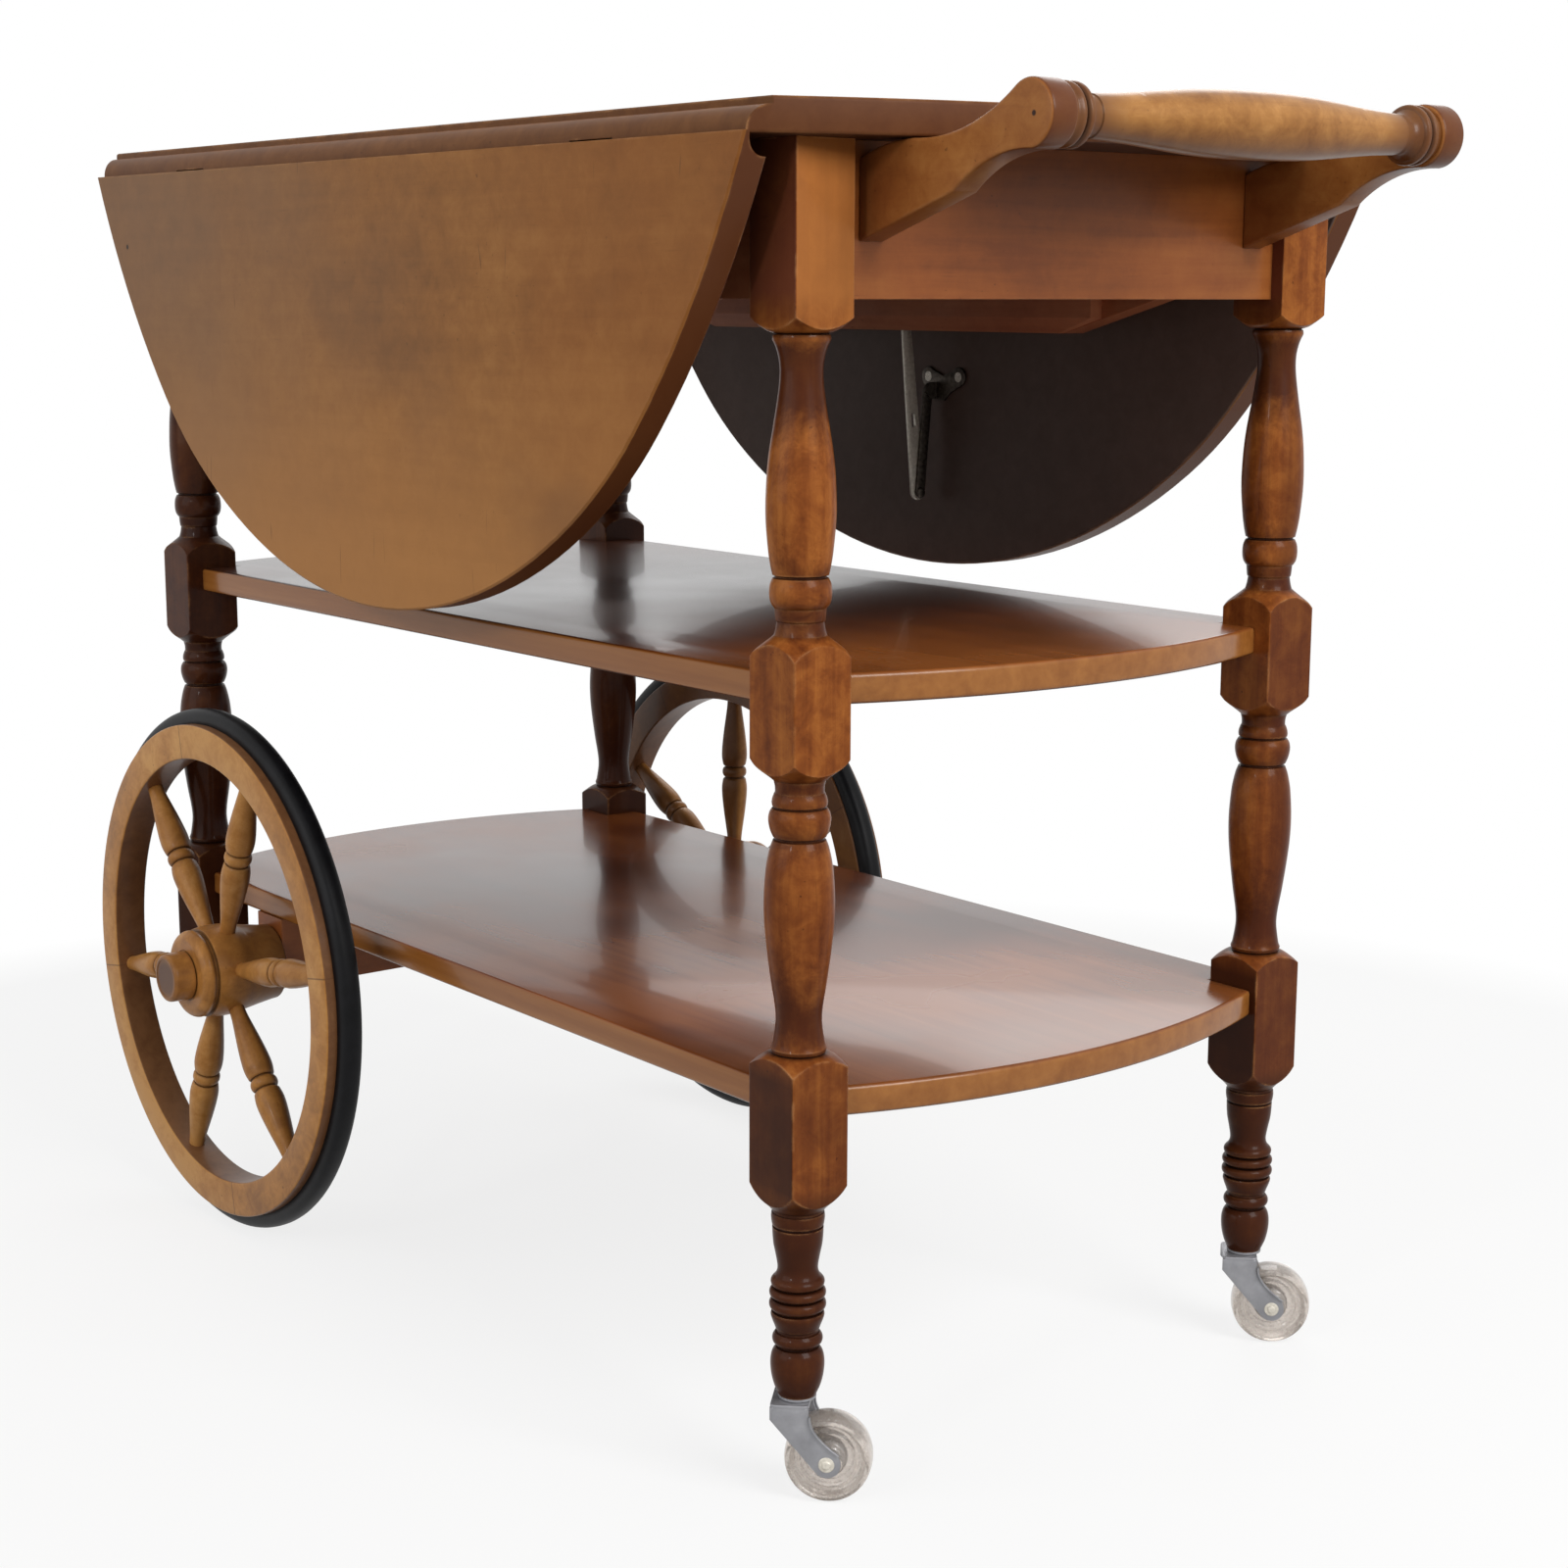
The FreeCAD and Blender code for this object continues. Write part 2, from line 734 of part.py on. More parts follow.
def frame_dowels():
    """Dowels that join the shelves to the posts and the handle's arms to their apron."""
    made = {}
    half = S.dowel_length / 2
    shelf_y = (post_inner_y + shelf_half_width) / 2
    for side_name, side in SIDES:
        for shelf_name, top in (("middle", S.middle_shelf_top), ("lower", S.lower_shelf_top)):
            for end_name, end in ENDS:
                key = (shelf_name, end_name, side_name)
                made[key] = cylinder("dowel_%s_%s_%s" % key, S.dowel_radius, S.dowel_length,
                                     middle_x + post_inner_x * end - half, shelf_y * side,
                                     top - S.shelf_thickness / 2, "+x")
        for level, z in (("low", arm_foot_bottom + S.dowel_inset), ("high", arm_foot_top - S.dowel_inset)):
            key = ("arm", level, side_name)
            made[key] = cylinder("dowel_%s_%s_%s" % key, S.dowel_radius, S.dowel_length,
                                 middle_x + end_apron_face - half, arm_middle_y * side, z, "+x")
    node("frame_dowels", group("frame_dowels", list(made.values())))
    return made


def shelf(name, top, reach, voids):
    """A board with bowed ends, its long edges ending between the posts' blocks."""
    body = new_body(name + "_board")
    half = shelf_half_width
    x = post_inner_x
    y = post_inner_y
    corner = reach - S.shelf_bow_radius + (S.shelf_bow_radius * S.shelf_bow_radius - y * y).root()
    outline = [
        (x, -half), (x, -y), (corner, -y), (corner, y, S.shelf_bow_radius, 1), (x, y), (x, half),
        (-x, half), (-x, y), (-corner, y), (-corner, -y, S.shelf_bow_radius, 1), (-x, -y), (-x, -half),
    ]
    pad(body, draw(body, name + "_outline", "XY_Plane", [outline]), S.shelf_thickness)
    place(body, middle_x, 0, top - S.shelf_thickness / 2)
    return node(name, cut(name, body, voids))


# ---------------------------------------------------------------- bolster and axle
axle_x = middle_x - S.axle_back
spigot_end = S.hub_front - S.cap_spigot_length
recess_floor = spigot_end - S.cap_clearance - S.axle_past_nut - S.nut_length - S.hub_side_gap
nut_start = wheel_track_half + recess_floor + S.hub_side_gap
axle_end = nut_start + S.nut_length + S.axle_past_nut
bolster_bottom = axle_height - S.bolster_below_axle
bolster_height = lower_shelf_bottom - bolster_bottom


def running_gear():
    """The bolster under the lower shelf, its screws, and the axle that it carries."""
    axle = cylinder("axle", S.axle_radius, axle_end * 2, axle_x, -axle_end, axle_height, "+y")
    node("axle", axle)
    screws = []
    bores = []
    depth = bolster_height + S.shelf_thickness * 0.75 - S.long_screw_length
    aside = (S.bolster_thickness / 2 + S.axle_radius) / 2
    for number, (share, way) in enumerate(((-0.7, 1), (-0.3, -1), (0.3, 1), (0.7, -1))):
        x = axle_x + aside * way
        y = shelf_half_width * share
        bores.append(cylinder("bolster_bore_%d" % number, S.counterbore_radius, depth, x, y, bolster_bottom))
        head = bolster_bottom + depth
        screws.append(screw("bolster_screw_%d" % number, S.long_screw_length, x, y, head, "up"))
    block = middle_box("axle_bolster_block", S.bolster_thickness, shelf_half_width * 2, bolster_height,
                       axle_x, 0, bolster_bottom)
    node("axle_bolster", cut("axle_bolster", block, [axle] + bores + screws))
    node("bolster_screws", group("bolster_screws", screws))
    nuts = []
    for side_name, side in SIDES:
        prism = doc.addObject("Part::Prism", "axle_nut_blank_" + side_name)
        prism.Polygon = 6
        bind(prism, "Circumradius", S.nut_radius)
        bind(prism, "Height", S.nut_length)
        way = "+y" if side > 0 else "-y"
        place(prism, axle_x, nut_start * side, axle_height, *TURNS[way])
        nuts.append(cut("axle_nut_" + side_name, prism, [axle]))
    node("axle_nuts", group("axle_nuts", nuts))
    return screws


# ---------------------------------------------------------------- big wheels
rim_radius = S.wheel_radius - S.tyre_cover
rim_inner_radius = rim_radius - S.rim_depth


def spoke_set(name):
    """Six turned spokes about the wheel's axis, along local Z."""
    body = new_body(name)
    body.AllowCompound = True
    hub_end = S.hub_radius
    rim_end = rim_inner_radius
    middle = (hub_end + rim_end) / 2
    bead = S.spoke_bead_radius - S.spoke_bead_rise
    bead_round = crown_radius(S.spoke_bead_rise, S.spoke_bead_half)
    groove = S.spoke_bead_half + S.spoke_groove
    lip = groove + S.spoke_groove
    body_end = lip + S.spoke_fillet
    lip_radius = S.spoke_radius - S.spoke_fillet * 0.2
    neck = S.spoke_end_radius
    swell = crown_radius(S.spoke_radius - neck, middle - hub_end - body_end)
    outline = [
        (hub_end - S.spoke_seat, 0), (hub_end - S.spoke_seat, neck), (hub_end, neck),
        (middle - body_end, S.spoke_radius, swell, -1), (middle - lip, lip_radius),
        (middle - groove, bead), (middle - S.spoke_bead_half, bead),
        (middle + S.spoke_bead_half, bead, bead_round, -1), (middle + groove, bead),
        (middle + lip, lip_radius), (middle + body_end, S.spoke_radius),
        (rim_end, neck, swell, -1), (rim_end + S.spoke_seat, neck), (rim_end + S.spoke_seat, 0),
    ]
    sketch = draw(body, name + "_outline", "XZ_Plane", [outline])
    one = turn_on_lathe(body, sketch, "H_Axis")
    ring = body.newObject("PartDesign::PolarPattern", name + "_ring")
    ring.Originals = [one]
    ring.Axis = (origin_plane(body, "Z_Axis"), [""])
    ring.Angle = 360
    ring.Occurrences = SPOKES
    body.Tip = ring
    return body


def spoke_seats(name):
    """The round holes in the rim that the six spokes' ends fill."""
    seats = []
    start = rim_inner_radius - S.spoke_seat
    for number in range(SPOKES):
        angle = 360.0 / SPOKES * number
        seat = cylinder("%s_%d" % (name, number), S.spoke_end_radius, S.spoke_seat * 2, 0, 0, 0)
        turn = FreeCAD.Rotation(V(0, 0, 1), angle).multiply(FreeCAD.Rotation(V(0, 1, 0), 90))
        way = math.radians(angle)
        place(seat, start * math.cos(way), start * math.sin(way), 0,
              tuple(turn.Axis), math.degrees(turn.Angle))
        seats.append(seat)
    return seats


def wheel_turn(side_name):
    """The turn that points local Z outwards, after the wheel's own turn on its axle."""
    axis, angle = TURNS[{"near": "-y", "far": "+y"}[side_name]]
    turn = FreeCAD.Rotation(V(*axis), angle).multiply(FreeCAD.Rotation(V(0, 0, 1), WHEEL_STOPS_AT[side_name]))
    return tuple(turn.Axis), math.degrees(turn.Angle)


def big_wheel(side_name, side):
    """Hub, cap, spokes, four felloes and tyre, each placed on the axle."""
    name = side_name + "_wheel"
    spokes = spoke_set(name + "_spoke_turnings")
    seats = spoke_seats(name + "_spoke_seat")
    tyre = doc.addObject("Part::Torus", name + "_tyre_ring")
    bind(tyre, "Radius1", S.wheel_radius - S.tyre_section_radius)
    bind(tyre, "Radius2", S.tyre_section_radius)
    place(tyre, 0, 0, -S.tyre_inset)
    felloes = []
    half = S.rim_width / 2
    for number in range(FELLOES):
        label = "%s_felloe_%d" % (name, number)
        turn = ((0, 0, 1), 360.0 / FELLOES * number)
        outer = cylinder(label + "_outer", rim_radius, S.rim_width, 0, 0, -half)
        outer.Angle = 360.0 / FELLOES
        place(outer, 0, 0, -half, *turn)
        inner = cylinder(label + "_inner", rim_inner_radius, S.rim_width, 0, 0, -half)
        grooved = cut(label + "_grooved", cut(label + "_ring", outer, [inner]), [tyre])
        felloes.append(cut(label, grooved, seats))
    bore = S.axle_radius + S.axle_fit
    back = S.hub_side_gap - S.wheel_offset
    flange_back = S.hub_front - S.flange_width
    groove_back = flange_back - S.hub_groove_width
    barrel_front = groove_back - S.flange_round
    groove_floor = S.hub_radius - S.hub_groove_depth
    outline = [
        (bore, back), (S.hub_inner_radius, back), (S.flange_radius, -half),
        (S.hub_radius, barrel_front - S.hub_barrel), (S.hub_radius, barrel_front),
        (S.hub_radius - 1, groove_back), (groove_floor, groove_back),
        (groove_floor, flange_back), (S.flange_radius, flange_back),
        (S.flange_radius, flange_back + S.flange_round),
        (S.flange_face_radius, S.hub_front, S.flange_round, 1),
        (S.hub_recess_radius, S.hub_front), (S.hub_recess_radius, recess_floor), (bore, recess_floor),
    ]
    hub = cut(name + "_hub", turned_piece(name + "_hub_turning", outline), [spokes])
    spigot = S.hub_recess_radius - S.cap_fit
    cap_end = S.hub_front + S.cap_length
    cap_outline = [
        (0, spigot_end), (spigot, spigot_end), (spigot, S.hub_front), (S.cap_radius, S.hub_front),
        (S.cap_radius, cap_end - S.cap_round),
        (S.cap_radius - S.cap_round, cap_end, S.cap_round, 1), (0, cap_end),
    ]
    cap = turned_piece(name + "_hub_cap", cap_outline)
    pieces = {"hub": hub, "hub_cap": cap, "felloes": group(name + "_felloes", felloes),
              "tyre": group(name + "_tyre", [tyre]), "spokes": group(name + "_spokes", [spokes])}
    for piece, obj in pieces.items():
        place(obj, axle_x, wheel_track_half * side, axle_height, *wheel_turn(side_name))
        node(name + "_" + piece, obj)


# ---------------------------------------------------------------- casters
fork_width = S.fork_gap + S.fork_sheet * 2
stem_top = crown_top + S.stem_length
socket_top = stem_top + 2
post_x = S.post_spacing_x / 2
post_y = S.post_spacing_y / 2
CASTER_TURN = 45.0
# where the fork leg's two edges leave the round boss about the axle, as directions from its middle
BOSS_BACK = (-0.759, -0.651)
BOSS_FRONT = (0.919, 0.394)


def caster(side_name, side):
    """Fork and stem, axle and wheel, trailing towards the handle and the far side."""
    name = side_name + "_caster"
    spot = (middle_x + post_x, post_y * side, 0)
    turn = ((0, 0, 1), CASTER_TURN)
    boss = S.stem_radius * 2
    wheel_z = S.caster_wheel_radius
    trail = S.caster_trail
    leg_top = crown_top - S.fork_cheek
    outline = [
        (-S.fork_back, crown_top), (-S.fork_back, leg_top),
        (trail + boss * BOSS_BACK[0], wheel_z + boss * BOSS_BACK[1]),
        (trail + boss * BOSS_FRONT[0], wheel_z + boss * BOSS_FRONT[1], boss, 1),
        (S.fork_front, leg_top), (S.fork_front, crown_top),
    ]
    shell = new_body(name + "_fork_sheet")
    pad(shell, draw(shell, name + "_leg_outline", "XZ_Plane", [outline]), fork_width)
    half = S.fork_gap / 2
    gap = [(-half, 0), (half, 0), (half, crown_top - S.fork_sheet), (-half, crown_top - S.fork_sheet)]
    pocket(shell, draw(shell, name + "_fork_opening", "YZ_Plane", [gap]))
    stem = cylinder(name + "_stem", S.stem_radius, S.stem_length + S.fork_sheet,
                    0, 0, crown_top - S.fork_sheet)
    half_axle = fork_width / 2 + S.caster_axle_head
    shaft = cylinder(name + "_axle_shaft", S.caster_axle_radius, half_axle * 2,
                     trail, -half_axle, wheel_z, "+y")
    heads = [cylinder("%s_axle_head_%s" % (name, way), S.caster_axle_radius + 2, S.caster_axle_head, trail,
                      (fork_width / 2) * step, wheel_z, way) for way, step in (("-y", -1), ("+y", 1))]
    axle = fuse(name + "_axle", [shaft] + heads)
    fork = cut(name + "_fork", fuse(name + "_fork_joined", [shell, stem]), [shaft])
    bore = S.caster_axle_radius + S.caster_fit
    hub = half - 0.4
    rim = S.caster_wheel_width / 2
    edge = S.caster_wheel_radius - 1.2
    wheel_outline = [
        (bore, -hub), (8, -hub), (8.6, 2 - rim), (edge - 3.5, 2 - rim), (edge - 1.5, -rim), (edge, -rim),
        (edge, rim, crown_radius(as_size(1.2), rim), 1), (edge - 1.5, rim), (edge - 3.5, rim - 2),
        (8.6, rim - 2), (8, hub), (bore, hub),
    ]
    wheel = place(turned_piece(name + "_wheel_turning", wheel_outline), trail, 0, wheel_z, *TURNS["+y"])
    pieces = {"fork": fork, "axle": axle, "wheel": group(name + "_wheel_set", [wheel])}
    for piece, obj in pieces.items():
        node(name + "_" + piece, place(obj, *spot, *turn))


def caster_sockets():
    """Flanged tubes pressed up into the handle end's feet. Returns their bores in the posts."""
    sockets = []
    bores = []
    for name, side in SIDES:
        x = middle_x + post_x
        y = post_y * side
        flange_bottom = foot_bottom - S.socket_flange
        length = socket_top - foot_bottom
        bores.append(cylinder("socket_bore_" + name, S.socket_radius, length, x, y, foot_bottom))
        flange = cylinder("socket_flange_" + name, S.neck_radius - 2, S.socket_flange, x, y, flange_bottom)
        hole = cylinder("socket_hole_" + name, S.stem_radius + S.caster_fit, length + S.socket_flange,
                        x, y, flange_bottom)
        sockets.append(cut("caster_socket_" + name, fuse("socket_" + name, [flange, bores[-1]]), [hole]))
    node("caster_sockets", group("caster_sockets", sockets))
    return bores


# ---------------------------------------------------------------- handle
grip_height = S.top_height - S.grip_drop


def bow_x(y):
    """How far the top's bowed end reaches at the distance y from the middle line."""
    return top_reach - S.end_bow_radius + (S.end_bow_radius * S.end_bow_radius - y * y).root()


def handle_arm(side_name, side, voids):
    """A shaped bracket that rises to a round head; its foot butts on the end apron."""
    name = "handle_arm_" + side_name
    head_x = S.grip_offset
    r = S.arm_head_radius
    clear_x = bow_x(arm_inner_y) - end_apron_face + S.arm_top_gap
    outline = [
        (0, arm_foot_bottom), (0, arm_foot_top), (clear_x, underside - S.arm_top_gap, S.arm_back_radius, -1),
        (head_x - r * 0.6, grip_height + r * 0.8, S.arm_hollow_radius, 1), (head_x + r, grip_height, r, -1),
        (head_x + r * 0.118, grip_height - r * 0.993, r, -1),
        (S.arm_belly_reach, arm_foot_bottom + S.arm_belly_rise, S.arm_belly_radius, 1),
    ]
    arm = new_body(name + "_board")
    pad(arm, draw(arm, name + "_outline", "XZ_Plane", [outline]), S.arm_thickness)
    place(arm, middle_x + end_apron_face, arm_middle_y * side, 0)
    return node(name, cut(name, arm, voids))


def handle_bar():
    """The turned grip with its tenons; returns the bar, which also cuts the arms' holes."""
    inner = arm_inner_y
    neck = S.grip_neck_radius
    base = S.grip_bead_radius - S.grip_bead_rise
    bead = crown_radius(S.grip_bead_rise, S.grip_bead_width / 2)
    collar = inner - S.grip_collar
    groove = collar - S.grip_bead_width
    bead_end = groove - S.grip_bead_width
    neck_start = bead_end - S.grip_neck_length
    neck_end = neck_start - S.grip_neck_length
    step = neck_end - S.grip_cove_length
    rise = S.grip_radius - neck
    concave = rise * 0.25
    side = [
        (0, inner + S.grip_tenon_length), (S.grip_tenon_radius, inner + S.grip_tenon_length),
        (S.grip_tenon_radius, inner), (base, inner), (base, collar),
        (base, groove, bead, -1), (base, bead_end, bead, -1), (neck, neck_start), (neck, neck_end),
        (neck + concave, step, crown_radius(concave, S.grip_cove_length), 1),
        (S.grip_radius, 0, crown_radius(rise - concave, step), -1),
    ]
    other = [(p[0], -p[1]) + ((p[2], -p[3]) if len(p) == 4 else ()) for p in side]
    bar = turned_piece("handle_bar", side + reverse(other)[1:])
    place(bar, middle_x + end_apron_face + S.grip_offset, 0, grip_height, *TURNS["+y"])
    return node("handle_bar", bar)


# ---------------------------------------------------------------- top
def hinge_x(end):
    return S.hinge_offset * end


def hinge_housings(side_name, side):
    """The housings in the top's underside for the plates, the swing and the barrel."""
    voids = []
    y = top_half_width * side
    reach_out = S.rule_radius + 1.0
    wide = S.hinge_width + S.hinge_gap * 2
    for end_name, end in ENDS:
        name = "hinge_housing_%s_%s" % (side_name, end_name)
        x = middle_x + hinge_x(end)
        across = S.hinge_short + reach_out
        plate_y = (top_half_width + (reach_out - S.hinge_short) / 2) * side
        plate = middle_box(name + "_plate", S.hinge_width, across, S.hinge_sheet, x, plate_y, underside)
        swing = middle_box(name + "_swing", wide, reach_out, pin_above_underside + S.hinge_gap,
                           x, (top_half_width + reach_out / 2) * side, underside)
        barrel = middle_box(name + "_barrel", wide, (S.hinge_barrel_radius + S.hinge_gap) * 2,
                            pin_above_underside + S.hinge_barrel_radius + S.hinge_gap, x, y, underside)
        voids += [plate, swing, barrel]
    return voids


def bowed_edge(edge, middle):
    """True for the upper and lower edges of the bowed faces."""
    level = abs(abs(middle.z) - S.top_thickness.value / 2) < 0.01
    return level and isinstance(edge.Curve, Part.Circle) and edge.Length > 50


def top_board(voids):
    """The fixed board: bowed ends, and a step and quarter round along both long edges."""
    body = new_body("top_blank")
    half = ovolo_half_width
    corner = bow_x(half)
    middle = S.top_thickness / 2
    outline = [
        (corner, -half), (corner, half, S.end_bow_radius, 1),
        (-corner, half), (-corner, -half, S.end_bow_radius, 1),
    ]
    pad(body, draw(body, "top_outline", "XY_Plane", [outline]), S.top_thickness)
    edges = [[
        (top_half_width * side, middle + 1), (top_half_width * side, middle - S.rule_step),
        (half * side, middle - pin_below_top, S.rule_radius, -side),
        ((half + 1) * side, middle - pin_below_top), ((half + 1) * side, middle + 1),
    ] for side in (-1, 1)]
    pocket(body, draw(body, "rule_edge", "YZ_Plane", edges))
    ease_edges(body, "end_rounding", S.edge_ease, bowed_edge)
    place(body, middle_x, 0, underside + middle)
    return node("top_board", cut("top_board", body, voids))


# ---------------------------------------------------------------- leaves
# the directions between which the rounder shoulder of a leaf's outline runs
SHOULDER_FROM = math.radians(41.64)
SHOULDER_TO = math.radians(54.0)


def leaf_outline(body):
    """Half of the oval: five arcs and a straight edge that the joint's cut takes off.

    The sketch's origin is on the hinge line, with +y away from the table.  The first arc carries
    the top's bow on, and the shoulder arc joins it to the long arc of the side, which ends level.
    """
    spare = S.rule_clearance - 10
    beside = top_half_width + spare
    x = bow_x(beside)
    across = beside / S.end_bow_radius
    along = (1 - across * across).root()
    from_x, from_y = math.cos(SHOULDER_FROM), math.sin(SHOULDER_FROM)
    to_x, to_y = math.cos(SHOULDER_TO), math.sin(SHOULDER_TO)
    shoulder = S.leaf_shoulder_radius
    span_x = x - shoulder * (from_x - to_x)
    span_y = S.leaf_width - spare - shoulder * (to_y - from_y)
    near_x, near_y = along - from_x, from_y - across
    spread = near_y * to_x - near_x * (1 - to_y)
    end_radius = (span_y * to_x - span_x * (1 - to_y)) / spread
    side_radius = (span_x * near_y - span_y * near_x) / spread
    first = (x - end_radius * near_x, spare + end_radius * near_y)
    second = (first[0] - shoulder * (from_x - to_x), first[1] + shoulder * (to_y - from_y))
    return draw(body, body.Name + "_outline", "XY_Plane", [[
        (x, spare), (*first, end_radius, 1), (*second, shoulder, 1), (-second[0], second[1], side_radius, 1),
        (-first[0], first[1], shoulder, 1), (-x, spare, end_radius, 1),
    ]])


def leaf_blank(name):
    """A leaf lying open, its hinge line on the local X axis and its upper face upwards."""
    body = new_body(name + "_blank")
    pad(body, leaf_outline(body), S.top_thickness)
    ease_edges(body, name + "_rounding", S.edge_ease, bowed_edge)
    pin = S.top_thickness / 2 - pin_below_top
    hollow = S.rule_radius + S.rule_clearance
    lip = S.rule_clearance
    beyond = S.top_thickness
    cove = [
        (lip, pin + (hollow * hollow - lip * lip).root(), hollow, 1), (lip, beyond),
        (-beyond, beyond), (-beyond, -beyond), (hollow, -beyond), (hollow, pin),
    ]
    pocket(body, draw(body, name + "_cove", "YZ_Plane", [cove]))
    return place(body, 0, 0, -pin)


LEAF_HANGS = {"far": ((1, 0, 0), -90.0), "near": ((0, 1, -1), 180.0)}
plate_face = -pin_above_underside


def knuckle(name, start, length, bore):
    """A length of the hinge's barrel about the local X axis."""
    tube = cylinder(name + "_tube", S.hinge_barrel_radius, length, start, 0, 0, "+x")
    return tube, cylinder(name + "_bore", bore, length, start, 0, 0, "+x")


def hinge_leaf_plate(name, x):
    """A hinge's plate in the leaf, with the middle knuckle, lying open. Returns plate and housing."""
    reach = S.hinge_barrel_radius + S.hinge_gap
    width = S.hinge_width * 0.36
    flat = middle_box(name + "_flat", S.hinge_width, S.hinge_long - reach, S.hinge_sheet,
                      x, (S.hinge_long + reach) / 2, plate_face)
    tab = middle_box(name + "_tab", width, reach, S.hinge_sheet, x, reach / 2, plate_face)
    tube, bore = knuckle(name, x - width / 2, width, S.hinge_pin_radius + S.hinge_pin_fit)
    return cut(name, fuse(name + "_joined", [flat, tab, tube]), [bore]), flat


def hinge_fixed_plate(name, x, side):
    """A hinge's plate under the top, with its two outer knuckles and its pin."""
    reach = S.hinge_barrel_radius + S.hinge_gap
    width = S.hinge_width * 0.32 - S.hinge_gap
    y = top_half_width * side
    flat = middle_box(name + "_flat", S.hinge_width, S.hinge_short - reach, S.hinge_sheet,
                      x, (top_half_width - (S.hinge_short + reach) / 2) * side, underside)
    pieces = [flat]
    for end_name, end in ENDS:
        label = "%s_knuckle_%s" % (name, end_name)
        middle = x + (S.hinge_width - width) / 2 * end
        pieces.append(middle_box(label + "_tab", width, reach, S.hinge_sheet, middle,
                                 (top_half_width - reach / 2) * side, underside))
        pieces.append(cylinder(label, S.hinge_barrel_radius, width, middle - width / 2, y, pin_height, "+x"))
    pin_start = x - S.hinge_width / 2
    pin = cylinder(name + "_pin", S.hinge_pin_radius, S.hinge_width, pin_start, y, pin_height, "+x")
    return cut(name, fuse(name + "_joined", pieces), [pin]), pin


def fixed_hinges():
    """The fixed plates and pins of all four hinges; returns the plates' screws."""
    plates = []
    pins = []
    screws = []
    for side_name, side in SIDES:
        for end_name, end in ENDS:
            x = middle_x + hinge_x(end)
            name = "hinge_plate_%s_%s" % (side_name, end_name)
            y = (top_half_width - S.hinge_short * 0.64) * side
            holes = [screw("%s_screw_%d" % (name, way + 2), S.screw_length, x + S.hinge_width * 0.3 * way,
                           y, underside, "up") for way in (-1, 1)]
            plate, pin = hinge_fixed_plate(name, x, side)
            plates.append(cut(name + "_drilled", plate, holes))
            pins.append(pin)
            screws += holes
    node("hinge_fixed_plates", group("hinge_fixed_plates", plates))
    node("hinge_pins", group("hinge_pins", pins))
    return screws


def leaf(side_name, side):
    """A leaf with its hinge plates, stay plate and screws, all hung from the hinge line."""
    name = side_name + "_leaf"
    plates = []
    housings = []
    screws = []
    for end_name, end in ENDS:
        label = "%s_hinge_plate_%s" % (name, end_name)
        x = hinge_x(end)
        plate, housing = hinge_leaf_plate(label, x)
        holes = [screw("%s_screw_%d" % (label, way + 2), S.screw_length, x + S.hinge_width * 0.3 * way,
                       S.hinge_long * 0.68, plate_face, "up") for way in (-1, 1)]
        plates.append(cut(label + "_drilled", plate, holes))
        housings.append(housing)
        screws += holes
    stay_plate, stay_screws = stay_leaf_plate(name)
    board = cut(name, leaf_blank(name), housings + screws + stay_screws)
    pieces = {
        "leaf": board,
        "hinge_leaf_plates": group(name + "_hinge_plates", plates),
        "stay_leaf_plate": stay_plate,
        "leaf_screws": group(name + "_screws", screws + stay_screws),
    }
    for piece, obj in pieces.items():
        place(obj, middle_x, top_half_width * side, pin_height, *LEAF_HANGS[side_name])
        node("%s_%s" % (side_name, piece), obj)


# ---------------------------------------------------------------- leaf stays
stay_pivot_out = side_apron_face + S.stay_pivot_gap
stay_pivot_height = pin_height - S.stay_pivot_drop


def stay_leaf_plate(name):
    """A three-cornered plate with two screws and an ear whose stud carries the link."""
    low = S.stay_leaf_pivot - S.stay_plate_below
    high = low + S.stay_plate_height
    lobe = low + S.stay_lobe_height
    left = -S.stay_plate_back
    right = S.stay_plate_front
    body = new_body(name + "_stay_sheet")
    outline = [(left, low), (right, low), (right, lobe), (S.stay_width, high),
               (left + S.stay_ear, high), (left, lobe)]
    pad(body, draw(body, name + "_stay_outline", "XY_Plane", [outline]), S.stay_sheet)
    place(body, 0, 0, plate_face - S.stay_sheet / 2)
    ear_x = S.stay_sheet * 1.5 + S.stay_gap * 2
    depth = S.stay_leaf_offset + S.stay_ear_past + plate_face
    ear = box(name + "_stay_ear", S.stay_sheet, S.stay_ear, depth,
              ear_x, S.stay_leaf_pivot - S.stay_ear / 2, plate_face - depth)
    stud_start = S.stay_sheet / 2 + S.stay_gap
    stud = cylinder(name + "_stay_stud", S.rivet_radius, ear_x + S.stay_sheet / 2 - stud_start, stud_start,
                    S.stay_leaf_pivot, -S.stay_leaf_offset, "+x")
    inset = S.stay_screw_inset
    head = plate_face - S.stay_sheet
    screws = [screw("%s_stay_screw_%d" % (name, number), S.screw_length, x, low + inset, head, "up")
              for number, x in ((1, left + inset), (2, right - inset))]
    return cut(name + "_stay_plate", fuse(name + "_stay_joined", [body, ear, stud]), screws), screws


def stay_turn(side, lean):
    """The turn of a bar that hangs in a stay, leaning outwards by lean degrees."""
    if side > 0:
        return (1, 0, 0), lean
    half = math.radians(lean) / 2
    return (0, math.sin(half), math.cos(half)), 180.0


def leaning_bar(across, drop):
    """The length of a bar that drops so far while it goes across, and its lean in degrees."""
    return (across * across + drop * drop).root(), math.degrees(math.atan2(across.value, drop.value))


